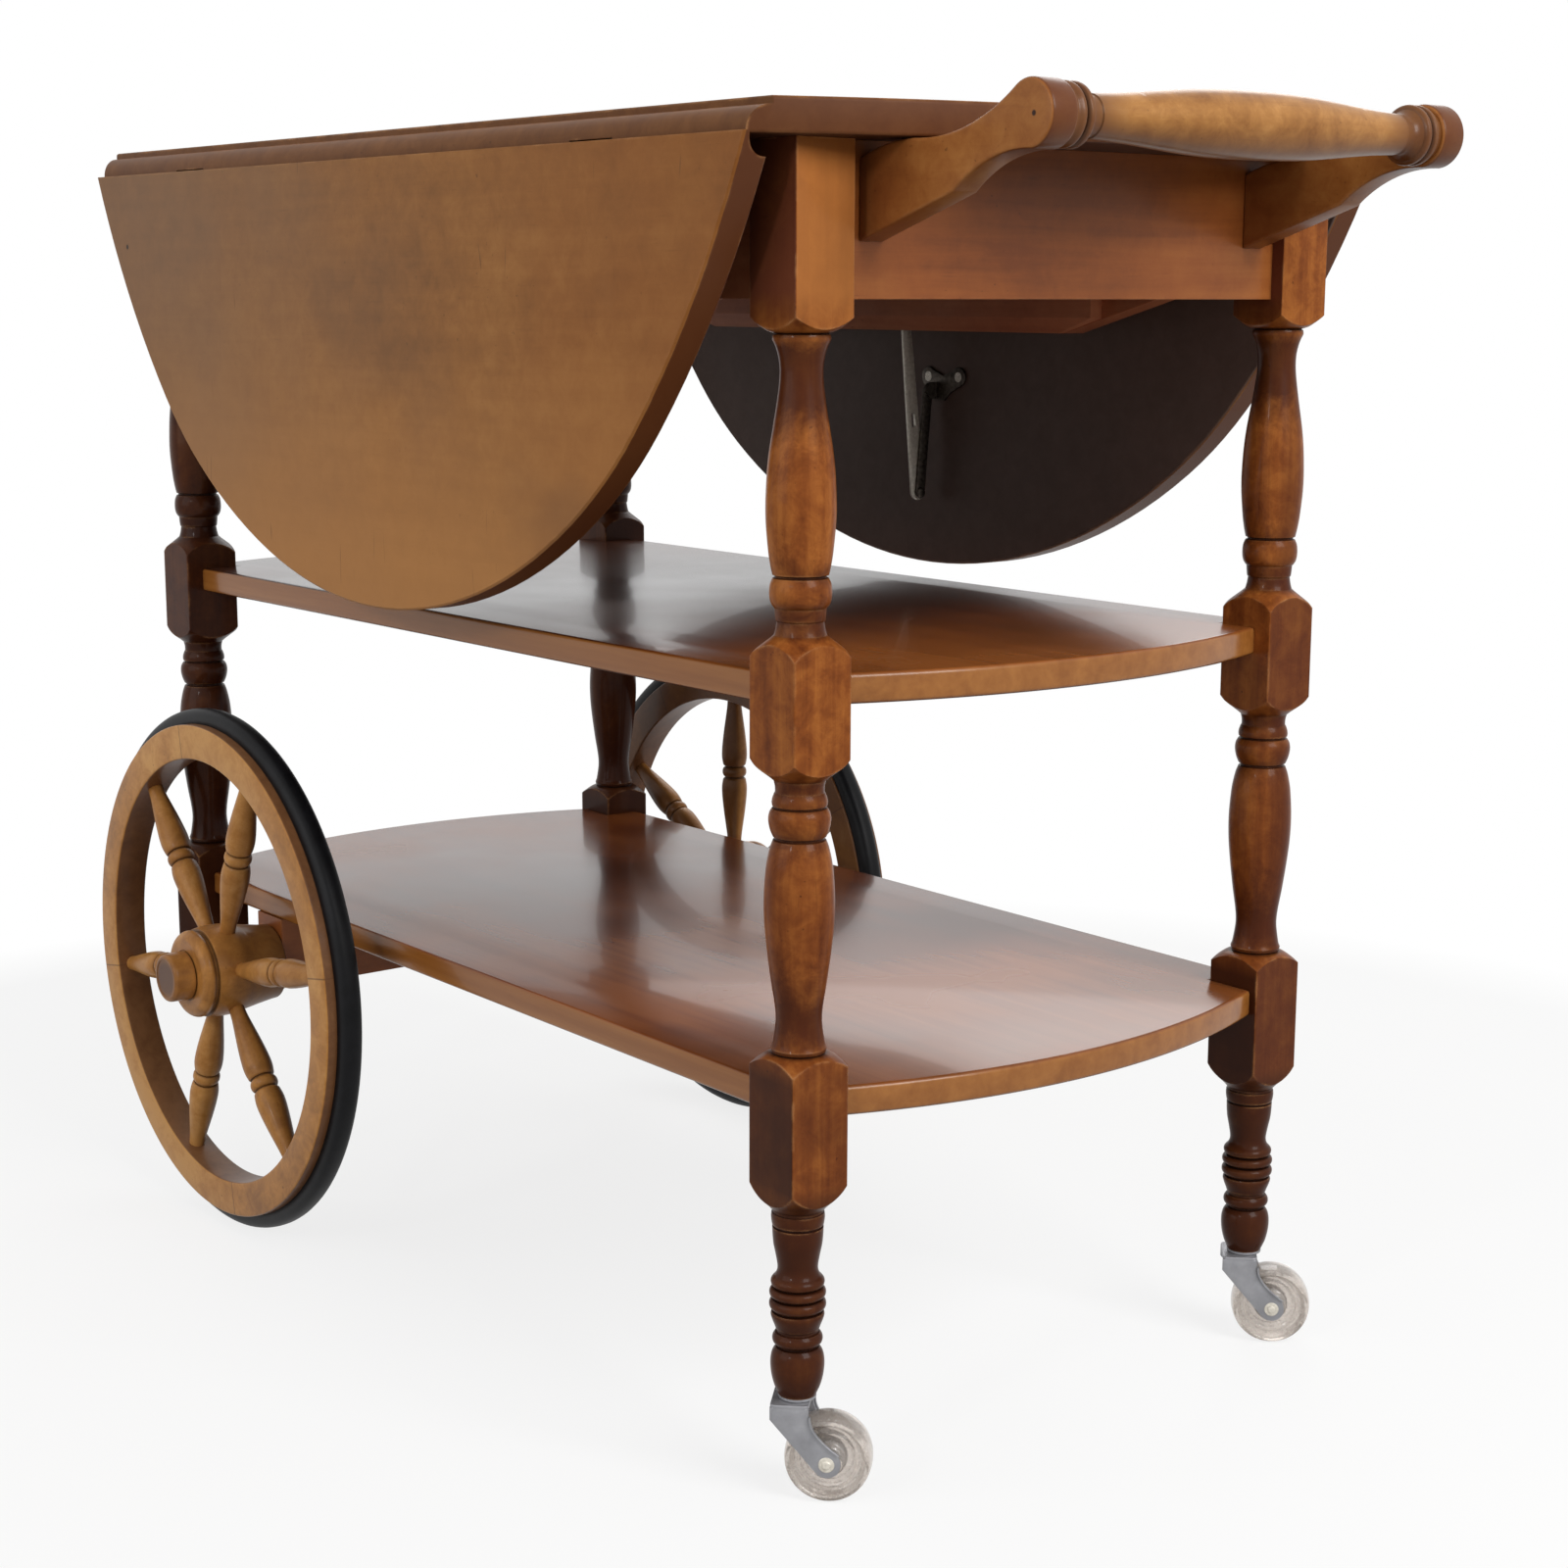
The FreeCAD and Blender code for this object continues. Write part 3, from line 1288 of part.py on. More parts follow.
def flat_bar(name, length, top_width, low_width):
    """A flat bar with round ends, hanging from its pivot at the origin."""
    body = new_body(name)
    top = top_width / 2
    low = low_width / 2
    outline = [(-top, 0), (top, 0, top * 1.02, -1), (low, -length), (-low, -length, low * 1.02, -1)]
    pad(body, draw(body, name + "_outline", "YZ_Plane", [outline]), S.stay_sheet)
    return body


def stay(side_name, side):
    """The strut on the apron's bracket and the link on the leaf's plate."""
    name = side_name + "_stay"
    leaf_pivot_out = top_half_width - S.stay_leaf_offset
    leaf_pivot_height = pin_height - S.stay_leaf_pivot
    strut_length, strut_lean = leaning_bar(S.stay_elbow_out, S.stay_elbow_drop)
    link_length, link_lean = leaning_bar(stay_pivot_out + S.stay_elbow_out - leaf_pivot_out,
                                         leaf_pivot_height - stay_pivot_height + S.stay_elbow_drop)
    head = S.rivet_head_radius
    strut_half = S.stay_sheet / 2
    bore = S.rivet_radius + S.rivet_fit
    strut_bar = flat_bar(name + "_strut_bar", strut_length, S.stay_narrow, S.stay_width)
    rivet = cylinder(name + "_strut_rivet", head, S.rivet_head, -strut_half, 0, -strut_length, "-x")
    slot = middle_box(name + "_slot", S.stay_sheet, S.stay_slot_width, S.stay_slot_length,
                      0, 0, S.stay_slot_inset - strut_length)
    pivot_hole = cylinder(name + "_strut_hole", bore, S.stay_sheet, -strut_half, 0, 0, "+x")
    strut = cut(name + "_strut", fuse(name + "_strut_joined", [strut_bar, rivet]), [slot, pivot_hole])
    place(strut, middle_x, stay_pivot_out * side, stay_pivot_height, *stay_turn(side, strut_lean))
    node(name + "_strut", strut)
    link_bar = flat_bar(name + "_link_bar", link_length, S.stay_narrow, S.stay_narrow)
    link_rivet = cylinder(name + "_link_rivet", head, S.rivet_head, strut_half, 0, -link_length, "+x")
    link_hole = cylinder(name + "_link_hole", bore, S.stay_sheet, -strut_half, 0, 0, "+x")
    link = cut(name + "_link", fuse(name + "_link_joined", [link_bar, link_rivet]), [link_hole])
    place(link, middle_x + (S.stay_sheet + S.stay_gap) * side, leaf_pivot_out * side, leaf_pivot_height,
          *stay_turn(side, link_lean))
    node(name + "_link", link)


def stay_brackets():
    """Angle pieces on the side aprons with the stud of each strut. Returns their screws."""
    brackets = []
    all_screws = []
    length = S.bracket_length
    height = S.bracket_height
    low = stay_pivot_height - height / 2
    ear_x = -(S.stay_sheet * 1.5 + S.stay_gap)
    for side_name, side in SIDES:
        name = "stay_bracket_" + side_name
        face = side_apron_face
        ear_depth = S.stay_pivot_gap + S.stay_ear_past

        def spot(x, out):
            return middle_x + x * side, out * side

        x, y = spot(ear_x - length / 2, face + S.stay_sheet / 2)
        plate = middle_box(name + "_plate", length, S.stay_sheet, height, x, y, low)
        x, y = spot(ear_x + S.stay_sheet / 2, face + ear_depth / 2)
        ear = middle_box(name + "_ear", S.stay_sheet, ear_depth, height, x, y, low)
        x, y = spot(ear_x, stay_pivot_out)
        way = "+x" if side > 0 else "-x"
        reach = S.stay_sheet * 2.5 + S.stay_gap * 2
        stud = cylinder(name + "_stud", S.rivet_radius, reach, x, y, stay_pivot_height, way)
        x, y = spot(ear_x + reach, stay_pivot_out)
        head = cylinder(name + "_head", S.rivet_head_radius, S.rivet_head, x, y, stay_pivot_height, way)
        inward = "-y" if side > 0 else "+y"
        screws = []
        inset = S.stay_screw_inset
        for number, shift in ((1, inset + S.stay_sheet), (2, length - inset)):
            x, y = spot(ear_x - shift, face + S.stay_sheet)
            label = "%s_screw_%d" % (name, number)
            screws.append(screw(label, S.screw_length, x, y, stay_pivot_height, inward))
        brackets.append(cut(name, fuse(name + "_joined", [plate, ear, stud, head]), screws))
        all_screws.append(screws)
    node("stay_brackets", group("stay_brackets", brackets))
    return all_screws


# ---------------------------------------------------------------- assembly
dowels = frame_dowels()
tongues = tenons()
socket_bores = caster_sockets()
for end_name, end in ENDS:
    for number, (side_name, side) in enumerate(SIDES):
        voids = [tongues["end", end_name, side_name], tongues["side", end_name, side_name]]
        voids += [dowels[shelf_name, end_name, side_name] for shelf_name in ("middle", "lower")]
        if end_name == "handle":
            voids.append(socket_bores[number])
        post("post_%s_%s" % (end_name, side_name), end_name, middle_x + post_x * end, post_y * side, voids)
    arm_holes = [d for key, d in dowels.items() if key[0] == "arm"] if end_name == "handle" else []
    end_apron(end_name, end, [tongues["end", end_name, side_name] for side_name, side in SIDES], arm_holes)

bracket_screws = stay_brackets()
for number, (side_name, side) in enumerate(SIDES):
    side_apron(side_name, side, [tongues["side", end_name, side_name] for end_name, end in ENDS],
               bracket_screws[number])
    batten(side_name, side)
cleat_screws = cleats()

bolster_screws = running_gear()
for shelf_name, top, overhang in (("middle", S.middle_shelf_top, S.middle_shelf_overhang),
                                  ("lower", S.lower_shelf_top, S.lower_shelf_overhang)):
    voids = [d for key, d in dowels.items() if key[0] == shelf_name]
    voids += bolster_screws if shelf_name == "lower" else []
    shelf(shelf_name + "_shelf", top, post_x + overhang, voids)

hinge_screws = fixed_hinges()
node("top_hinge_screws", group("top_hinge_screws", hinge_screws + bracket_screws[0] + bracket_screws[1]))
top_board(cleat_screws + hinge_screws + hinge_housings("near", -1) + hinge_housings("far", 1))

bar = handle_bar()
for side_name, side in SIDES:
    arm_dowels = [d for key, d in dowels.items() if key[0] == "arm" and key[2] == side_name]
    handle_arm(side_name, side, arm_dowels + [bar])
    leaf(side_name, side)
    stay(side_name, side)
    big_wheel(side_name, side)
    caster(side_name, side)

doc.recompute()

# ---------------------------------------------------------------- checks and export
faults = ["%s: %s" % (obj.Label, ", ".join(obj.State)) for obj in doc.Objects
          if "Invalid" in obj.State or "Error" in obj.State]
faults += [obj.Label + ": no sound shape" for obj in nodes if obj.Shape.isNull() or not obj.Shape.isValid()]
if faults:
    raise RuntimeError("\n".join(faults))

os.makedirs("parts", exist_ok=True)
for obj in nodes:
    obj.Shape.exportStep("parts/%s.step" % obj.Label)
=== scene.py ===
"""The looks of the drop leaf tea trolley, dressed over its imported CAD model."""
import math

import bmesh
import bpy
from mathutils import Matrix, Vector

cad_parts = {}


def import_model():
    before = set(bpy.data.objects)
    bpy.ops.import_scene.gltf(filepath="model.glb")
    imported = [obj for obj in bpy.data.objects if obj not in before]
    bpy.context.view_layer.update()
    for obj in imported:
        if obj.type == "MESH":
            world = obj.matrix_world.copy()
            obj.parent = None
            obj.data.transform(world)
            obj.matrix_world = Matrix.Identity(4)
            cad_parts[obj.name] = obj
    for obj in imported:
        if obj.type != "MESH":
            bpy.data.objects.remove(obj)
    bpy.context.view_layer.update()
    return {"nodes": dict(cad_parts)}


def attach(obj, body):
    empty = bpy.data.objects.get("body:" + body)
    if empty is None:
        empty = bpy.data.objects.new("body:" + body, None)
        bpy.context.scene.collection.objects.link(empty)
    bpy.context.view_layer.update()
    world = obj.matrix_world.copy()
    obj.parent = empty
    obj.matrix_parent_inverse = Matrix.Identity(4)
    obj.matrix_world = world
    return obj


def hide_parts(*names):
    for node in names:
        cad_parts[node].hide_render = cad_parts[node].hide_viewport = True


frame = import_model()

MM = 0.001
SIDES = (("near", -1), ("far", 1))

# the view: the camera's place and turns, and its focal length in the frame's pixels
CAMERA_PLACE = Vector((1.3966, -1.0497, 0.6682))
CAMERA_YAW = math.radians(51.594)
CAMERA_PITCH = math.radians(-10.658)
CAMERA_ROLL = math.radians(0.177)
FOCAL_PIXELS = 2673.8
FRAME_PIXELS = 1600
SENSOR = 36.0


# ---- node helpers
class Nodes:
    """A node tree under construction."""

    def __init__(self, tree):
        self.tree = tree

    def add(self, kind, **settings):
        node = self.tree.nodes.new("ShaderNode" + kind)
        for key, value in settings.items():
            if key in node.inputs:
                node.inputs[key].default_value = value
            else:
                setattr(node, key, value)
        return node

    def link(self, source, target):
        self.tree.links.new(source, target)

    def math(self, operation, *values):
        node = self.add("Math", operation=operation)
        for socket, value in zip(node.inputs, values):
            if isinstance(value, (int, float)):
                socket.default_value = value
            else:
                self.link(value, socket)
        return node.outputs[0]

    def times(self, first, second):
        return self.math("MULTIPLY", first, second)

    def plus(self, first, second):
        return self.math("ADD", first, second)

    def less(self, first, second):
        return self.math("SUBTRACT", first, second)

    def absolute(self, value):
        return self.math("ABSOLUTE", value)

    def distance(self, first, second):
        """How far a place is from where both its coordinates are 0."""
        return self.math("SQRT", self.plus(self.times(first, first), self.times(second, second)))

    def seen(self):
        """1 for rays that come from the camera, a mirror or glass."""
        rays = self.add("LightPath").outputs
        mirrored = self.math("MAXIMUM", rays["Is Camera Ray"], rays["Is Glossy Ray"])
        return self.math("MAXIMUM", mirrored, rays["Is Transmission Ray"])


class Shader(Nodes):
    """A material under construction."""

    def __init__(self, name):
        self.material = bpy.data.materials.new(name)
        self.material.use_nodes = True
        super().__init__(self.material.node_tree)
        self.body = self.tree.nodes["Principled BSDF"]
        self.split = None

    def set(self, **settings):
        """Plain values on the surface shader's own sockets."""
        for key, value in settings.items():
            self.body.inputs[key.replace("_", " ")].default_value = value

    def paint(self, colour):
        self.link(colour, self.body.inputs["Base Color"])

    def place(self):
        """The object's own coordinates, which are the frame's metres."""
        return self.add("TexCoord").outputs["Object"]

    def axis(self, letter):
        """One coordinate of the object's own place."""
        if self.split is None:
            self.split = self.add("SeparateXYZ")
            self.link(self.place(), self.split.inputs[0])
        return self.split.outputs["XYZ".index(letter)]

    def facing(self, letter):
        """How far the surface faces along one of the object's own axes, from -1 to 1."""
        split = self.add("SeparateXYZ")
        self.link(self.add("TexCoord").outputs["Normal"], split.inputs[0])
        return split.outputs["XYZ".index(letter)]

    def band(self, letter, low, high, share=1.0):
        """A mask along one coordinate."""
        return self.mask(self.axis(letter), low, high, share)

    def faces(self, letter, low, high, share=1.0):
        """A mask of how squarely the surface faces along an axis, either way."""
        return self.mask(self.absolute(self.facing(letter)), low, high, share)

    def combine(self, *coordinates):
        node = self.add("CombineXYZ")
        for socket, value in zip(node.inputs, coordinates):
            self.link(value, socket)
        return node.outputs[0]

    def stretched(self, stretch, turn=(0.0, 0.0, 0.0), shift=0.0):
        """The object's own coordinates, scaled so that marks run along one axis."""
        mapping = self.add("Mapping", Scale=stretch, Rotation=turn, Location=(shift, 0.0, 0.0))
        self.link(self.place(), mapping.inputs["Vector"])
        return mapping.outputs["Vector"]

    def noise(self, vector, scale, detail=4.0, roughness=0.55, distortion=0.0):
        node = self.add("TexNoise", Scale=scale, Detail=detail, Roughness=roughness, Distortion=distortion)
        self.link(vector, node.inputs["Vector"])
        return node.outputs["Fac"]

    def ramp(self, factor, stops):
        """A colour ramp of (place, colour) stops."""
        node = self.add("ValToRGB")
        elements = node.color_ramp.elements
        while len(elements) < len(stops):
            elements.new(0.5)
        for element, (place, colour) in zip(elements, stops):
            element.position = place
            element.color = (*srgb(*colour), 1.0)
        self.link(factor, node.inputs["Fac"])
        return node.outputs["Color"]

    def mask(self, factor, low, high, share=1.0):
        """The factor stretched so that low becomes 0 and high becomes the share."""
        node = self.add("MapRange", **{"From Min": low, "From Max": high, "To Max": share})
        self.link(factor, node.inputs["Value"])
        return node.outputs["Result"]

    def mix(self, factor, first, second):
        node = self.add("Mix", data_type="RGBA")
        for socket, value in ((node.inputs[0], factor), (node.inputs[6], first), (node.inputs[7], second)):
            if isinstance(value, (int, float)):
                socket.default_value = value
            elif isinstance(value, tuple):
                socket.default_value = (*srgb(*value), 1.0)
            else:
                self.link(value, socket)
        return node.outputs[2]

    def blend(self, share, first, second):
        """One surface over another, by a share."""
        node = self.add("MixShader")
        for socket, source in zip(node.inputs, (share, first, second)):
            self.link(source, socket)
        return node.outputs[0]

    def hollow(self, distance, low, high):
        """1 in grooves and corners, 0 on open surfaces."""
        node = self.add("AmbientOcclusion", Distance=distance, samples=6, only_local=True)
        return self.mask(node.outputs["AO"], high, low)

    def bump(self, height, strength, distance, edge=0.0):
        node = self.add("Bump", Strength=strength, Distance=distance)
        self.link(height, node.inputs["Height"])
        if edge:
            bevel = self.add("Bevel", Radius=edge, samples=4)
            self.link(bevel.outputs["Normal"], node.inputs["Normal"])
        self.link(node.outputs["Normal"], self.body.inputs["Normal"])


def srgb(*screen):
    """A colour given as 0-255 screen values, in Blender's linear values."""
    return tuple(c / 255 / 12.92 if c <= 10 else ((c / 255 + 0.055) / 1.055) ** 2.4 for c in screen)


# ---- wood
ALONG = {"x": (0.05, 1.0, 1.0), "y": (1.0, 0.05, 1.0), "z": (1.0, 1.0, 0.05)}
STAIN = (34, 15, 8)
# metres: how far rubbing and its painted highlight reach from an edge, how round edges are shaded, how deep
# the grain is
WORN_AND_LIT_EDGE, SOFT_EDGE, PORE_DEPTH = 0.0022, 0.0009, 0.0004


def from_axle(shader):
    """The x and z of a place, counted from the big wheels' axle."""
    return shader.less(shader.axis("X"), AXLE_X * MM), shader.less(shader.axis("Z"), AXLE_Z * MM)


def spoke_grain(shader):
    """Grain that runs outwards from the axle: polar coordinates, short along the radius."""
    x, z = from_axle(shader)
    turn = shader.times(shader.math("ARCTAN2", z, x), 0.14)
    return shader.combine(shader.times(shader.distance(x, z), 0.06), shader.axis("Y"), turn)


def felloe_grain(shader, rest):
    """Straight grain in each of the four felloes, and the dark glue lines between them.

    Returns the grain's vector, the mask of the glue lines and a number for each pair of felloes.
    """
    x, z = from_axle(shader)
    c, s = math.cos(math.radians(rest)), math.sin(math.radians(rest))
    u = shader.plus(shader.times(x, c), shader.times(z, s))
    v = shader.less(shader.times(z, c), shader.times(x, s))
    pair = shader.math("GREATER_THAN", shader.times(u, v), 0.0)
    first, second = shader.plus(u, v), shader.less(u, v)
    swap = shader.less(first, second)
    across = shader.math("MULTIPLY_ADD", swap, pair, second)
    along = shader.less(first, shader.times(swap, pair))
    layer = shader.math("MULTIPLY_ADD", pair, 3.0, shader.times(along, 0.05))
    gap = shader.math("MINIMUM", shader.absolute(u), shader.absolute(v))
    return shader.combine(across, shader.axis("Y"), layer), shader.mask(gap, 0.0007, 0.0003), pair


class Wood(Shader):
    """Stained and lacquered wood: patchy stain, fine streaks, pores and dark stain in the grooves."""

    def __init__(self, name, palette, grain, rest=None, weights=(0.4, 0.2, 0.4), specks=0.5):
        super().__init__(name)
        dark, middle, light = palette
        lines = None
        if rest is not None:
            along, lines, pair = felloe_grain(self, rest)
        else:
            along = self.stretched(ALONG[grain]) if grain in ALONG else spoke_grain(self)
        askew = self.stretched((1.0, 1.0, 1.0), (0.5, 0.7, 0.3))
        self.patch = self.noise(askew, 5.0, 3.0, 0.55)
        self.streak = self.noise(along, 85.0, 6.0, 0.6, 0.3)
        self.fine = self.noise(along, 480.0, 3.0, 0.65)
        self.mottle = self.noise(askew, 58.0, 6.0, 0.70, 0.4)
        tone = 0.0
        for share, marks in zip(weights, (self.patch, self.streak, self.mottle)):
            tone = self.math("MULTIPLY_ADD", marks, share, tone)
        self.colour = self.ramp(tone, [(0.38, dark), (0.50, middle), (0.61, light)])
        if specks:
            self.stain(self.mask(self.fine, 0.64, 0.76, 0.22), (52, 26, 14))
            speck = self.noise(self.place(), 330.0, 2.0, 0.5)
            some = self.mask(self.noise(askew, 24.0, 2.0), 0.42, 0.60)
            self.stain(self.times(self.mask(speck, 0.70, 0.76, specks), some), (44, 22, 12))
        if lines is not None:
            self.stain(pair, dark, 0.10)
            self.stain(lines, (40, 20, 12), 0.55)

    def patches(self, scale, low, high, share=1.0):
        """A cloudy mask."""
        return self.mask(self.noise(self.place(), scale, 3.0), low, high, share)

    def stain(self, where, colour, share=1.0):
        """Another colour laid over the wood where the mask says."""
        if share != 1.0:
            where = self.times(where, share)
        self.colour = self.mix(where, self.colour, colour)

    def done(self, gloss=0.3, coat=0.06, coat_rough=0.12, specular=0.2, relief=0.1, glaze=0.0, wear=0.0):
        """The finished material: stain in the hollows, rubbed edges lightened by wear and by a painted
        highlight, lacquer and relief.
        """
        if glaze:
            self.stain(self.hollow(0.010, 0.45, 0.93), STAIN, glaze)
        if wear:
            # rubbed edges: real wear and a painted highlight, laid on as a lighter colour
            self.stain(self.worn_and_highlit(wear), (206, 150, 98))
        self.paint(self.colour)
        self.link(self.plus(self.mask(self.patch, 0.3, 0.7, 0.1), gloss), self.body.inputs["Roughness"])
        self.set(Coat_Weight=coat, Coat_Roughness=coat_rough, Specular_IOR_Level=specular)
        height = self.plus(self.times(self.streak, 0.5), self.times(self.fine, 0.5))
        self.bump(height, relief, PORE_DEPTH, SOFT_EDGE)
        return self.material

    def spot(self, x, z, radius):
        """1 inside a round spot that is seen along Y."""
        away = self.distance(self.less(self.axis("X"), x), self.less(self.axis("Z"), z))
        return self.mask(away, radius * 1.25, radius * 0.75)

    def worn_and_highlit(self, share):
        """Rubbed edges, lighter from wear and from a painted highlight: where the rounded normal leaves the
        flat one.
        """
        bevel = self.add("Bevel", Radius=WORN_AND_LIT_EDGE, samples=4)
        turn = self.add("VectorMath", operation="DOT_PRODUCT")
        self.link(bevel.outputs["Normal"], turn.inputs[0])
        self.link(self.add("NewGeometry").outputs["Normal"], turn.inputs[1])
        rubbed = self.patches(60.0, 0.44, 0.66)
        rubbed = self.times(rubbed, self.hollow(0.004, 0.98, 0.82))
        return self.times(self.mask(turn.outputs["Value"], 0.985, 0.88, share), rubbed)


LEAF = (121, 78, 36), (143, 94, 46), (161, 110, 58)
TOP = (96, 56, 26), (120, 76, 38), (140, 92, 50)
POST = (82, 37, 16), (129, 70, 30), (163, 98, 44)
APRON = (121, 64, 28), (146, 81, 36), (164, 98, 46)
# SIDE_APRON and BATTEN are paler copies of the apron wood: painted light for boards that stand in shade under
# the top
SIDE_APRON = (150, 86, 56), (174, 104, 70), (192, 122, 84)
BATTEN = (176, 104, 72), (198, 124, 88), (214, 142, 104)
ARM = (124, 70, 30), (150, 92, 42), (170, 112, 56)
SHELF = (84, 38, 14), (114, 56, 22), (142, 78, 34)
HONEY = (127, 80, 34), (160, 110, 56), (188, 137, 78)
MAPLE = (143, 95, 47), (180, 124, 62), (203, 150, 86)


def neck_stain(wood):
    """1 where a post is turned slender and stain gathers, 0 on its bellies and blocks."""
    x = wood.less(wood.absolute(wood.less(wood.axis("X"), MIDDLE_X * MM)), POST_X * MM)
    y = wood.less(wood.absolute(wood.axis("Y")), POST_Y * MM)
    rough = wood.math("MULTIPLY_ADD", wood.mottle, 0.006, wood.distance(x, y))
    return wood.mask(rough, 0.0203, 0.0160)


def post_wood():
    """Dark stain lies in the necks; bellies are rubbed lighter. Painted shade darkens the top and lowest
    blocks' faces towards the sides, the far posts' +X faces below their top blocks and the posts at the wheel
    end; painted light brightens the +X faces of the near posts' top blocks.
    """
    wood = Wood("post_wood", POST, "z", weights=(0.28, 0.36, 0.36), specks=0.8)
    wood.stain(neck_stain(wood), (62, 28, 15), 0.85)
    # painted shade: the top and lowest blocks' faces towards the sides are darker, patchily
    outward = wood.faces("Y", 0.75, 0.97)
    height = wood.axis("Z")
    top = wood.mask(height, 0.640, 0.668)
    low = wood.mask(height, 0.262, 0.246)
    lowest = wood.times(low, wood.mask(height, 0.170, 0.186))
    dark = wood.math("MAXIMUM", top, lowest)
    patchy = wood.patches(16.0, 0.25, 0.55)
    outer = wood.times(wood.times(outward, dark), wood.math("MULTIPLY_ADD", patchy, 0.3, 0.62))
    wood.stain(outer, wood.mix(top, (40, 20, 13), (98, 52, 36)))
    wood.stain(wood.times(low, wood.patches(22.0, 0.35, 0.7, 0.45)), (78, 38, 20))
    wood.stain(wood.mask(height, 0.43, 0.40, 0.2), (84, 40, 18))
    # painted light: the +X faces of the near posts' top blocks are lighter
    forward = wood.mask(wood.facing("X"), 0.75, 0.97)
    near_painted_light = wood.times(wood.band("Y", 0.02, 0.0), wood.math("MULTIPLY_ADD", patchy, 0.2, 0.5))
    wood.stain(wood.times(wood.times(forward, top), near_painted_light), (176, 112, 58))
    # painted shade: the far posts' +X faces below their top blocks are darker
    far_painted_shade = wood.times(wood.band("Y", 0.15, 0.16, 0.6), wood.mask(height, 0.65, 0.55))
    wood.stain(wood.times(forward, far_painted_shade), (72, 34, 22))
    # painted shade: the posts at the wheel end are darker
    wood.stain(wood.band("X", -0.2, -0.3, 0.76), (51, 28, 20))
    wood.stain(wood.mask(height, 0.186, 0.176, 0.68), (58, 29, 16))
    return wood.done(glaze=0.92, gloss=0.26, coat=0.06, coat_rough=0.05, specular=0.05, wear=0.75)


# where a nail hole in the leaf and a plug in the near arm lie, and their radii: x, z, radius in metres
NAIL_HOLE = (-0.3705, 0.6972, 0.0017)
ARM_PLUG = (0.4598, 0.7522, 0.0014)


def leaf_wood():
    """The wheel end is bleached, the edges are dark and the inner face is a dull grey-brown."""
    wood = Wood("leaf_wood", LEAF, "x", weights=(0.5, 0.2, 0.3), specks=0.4)
    x = wood.axis("X")
    wander = wood.math("MULTIPLY_ADD", wood.noise(wood.place(), 4.0, 3.0), 0.5, wood.plus(x, -0.25))
    wood.stain(wood.mask(wander, 0.02, -0.26, 0.6), (124, 94, 68))
    wood.stain(wood.mask(wander, 0.10, 0.30, 0.5), (135, 75, 25))
    wood.stain(wood.band("Z", 0.64, 0.50, 0.7), (176, 122, 67))
    cloud = wood.noise(wood.stretched((0.7, 1.0, 1.0), (0.3, 0.5, 0.2)), 9.0, 3.0)
    wood.stain(wood.mask(cloud, 0.55, 0.75, 0.45), (98, 66, 40))
    side = wood.faces("Y", 0.75, 0.45)
    wood.stain(side, (80, 42, 22), 0.9)
    scratches(wood)
    wood.stain(wood.times(wood.spot(*NAIL_HOLE), wood.band("Y", -0.2, -0.21)), (34, 20, 12))
    inner = wood.mask(wood.absolute(wood.axis("Y")), 0.2242, 0.2234)
    wood.stain(wood.times(inner, wood.band("Z", 0.7412, 0.7408)),
               wood.mix(wood.mottle, (92, 76, 69), (118, 98, 90)))
    return wood.done(gloss=0.42, coat=0.03, coat_rough=0.3, specular=0.12, relief=0.14, wear=0.4)


def scratches(wood):
    """A few short, thin scratches in two directions."""
    for number, (turn, scale) in enumerate(((0.5, 42.0), (-1.0, 27.0))):
        cells = wood.add("TexVoronoi", Scale=scale, feature="DISTANCE_TO_EDGE")
        wood.link(wood.stretched((1.0, 1.0, 0.06), (0.0, turn, 0.0), number * 3.1), cells.inputs["Vector"])
        line = wood.mask(cells.outputs["Distance"], 0.010, 0.004)
        some = wood.mask(wood.noise(wood.place(), 17.0 + number, 2.0), 0.64, 0.70)
        wood.stain(wood.times(wood.times(line, some), wood.times(line, 0.6)), (84, 56, 34))


def top_wood():
    wood = Wood("top_wood", TOP, "x")
    wood.stain(wood.band("Z", 0.7458, 0.7452), (70, 40, 24))
    edge = wood.faces("X", 0.5, 0.8)
    wood.stain(edge, (84, 46, 28), 0.75)
    side = wood.faces("Y", 0.2, 0.5)
    wood.stain(side, (80, 48, 26), 0.45)
    return wood.done(gloss=0.42, coat=0.0, specular=0.1, wear=0.8)


def apron_wood(name, grain, palette, **finish):
    return Wood(name, palette, grain, weights=(0.5, 0.32, 0.18)).done(**finish)


def shelf_wood():
    """Deep red-brown faces under a glossy lacquer, with painted shade on the middle shelf under the top,
    lighter and more golden towards the handle end, and edges of honey colour.
    """
    wood = Wood("shelf_wood", SHELF, "x", weights=(0.75, 0.25, 0.0), specks=0.0)
    # painted shade: the middle shelf is darker under the top, away from the handle end
    deep = wood.times(wood.band("Z", 0.40, 0.44), wood.band("X", 0.26, 0.08, 0.7))
    wood.stain(deep, (38, 18, 11))
    wood.stain(wood.band("X", 0.16, 0.34, 0.4), (150, 92, 46))
    up = wood.facing("Z")
    side = wood.mask(wood.absolute(up), 0.80, 0.45)
    tone = wood.mask(wood.streak, 0.35, 0.65)
    edge = wood.mix(tone, (138, 84, 36), (158, 102, 48))
    wood.stain(side, edge)
    wood.stain(wood.mask(up, -0.5, -0.8), (84, 48, 28))
    return wood.done(gloss=0.18, coat=0.16, coat_rough=0.05, specular=0.24, relief=0.0, wear=0.4)


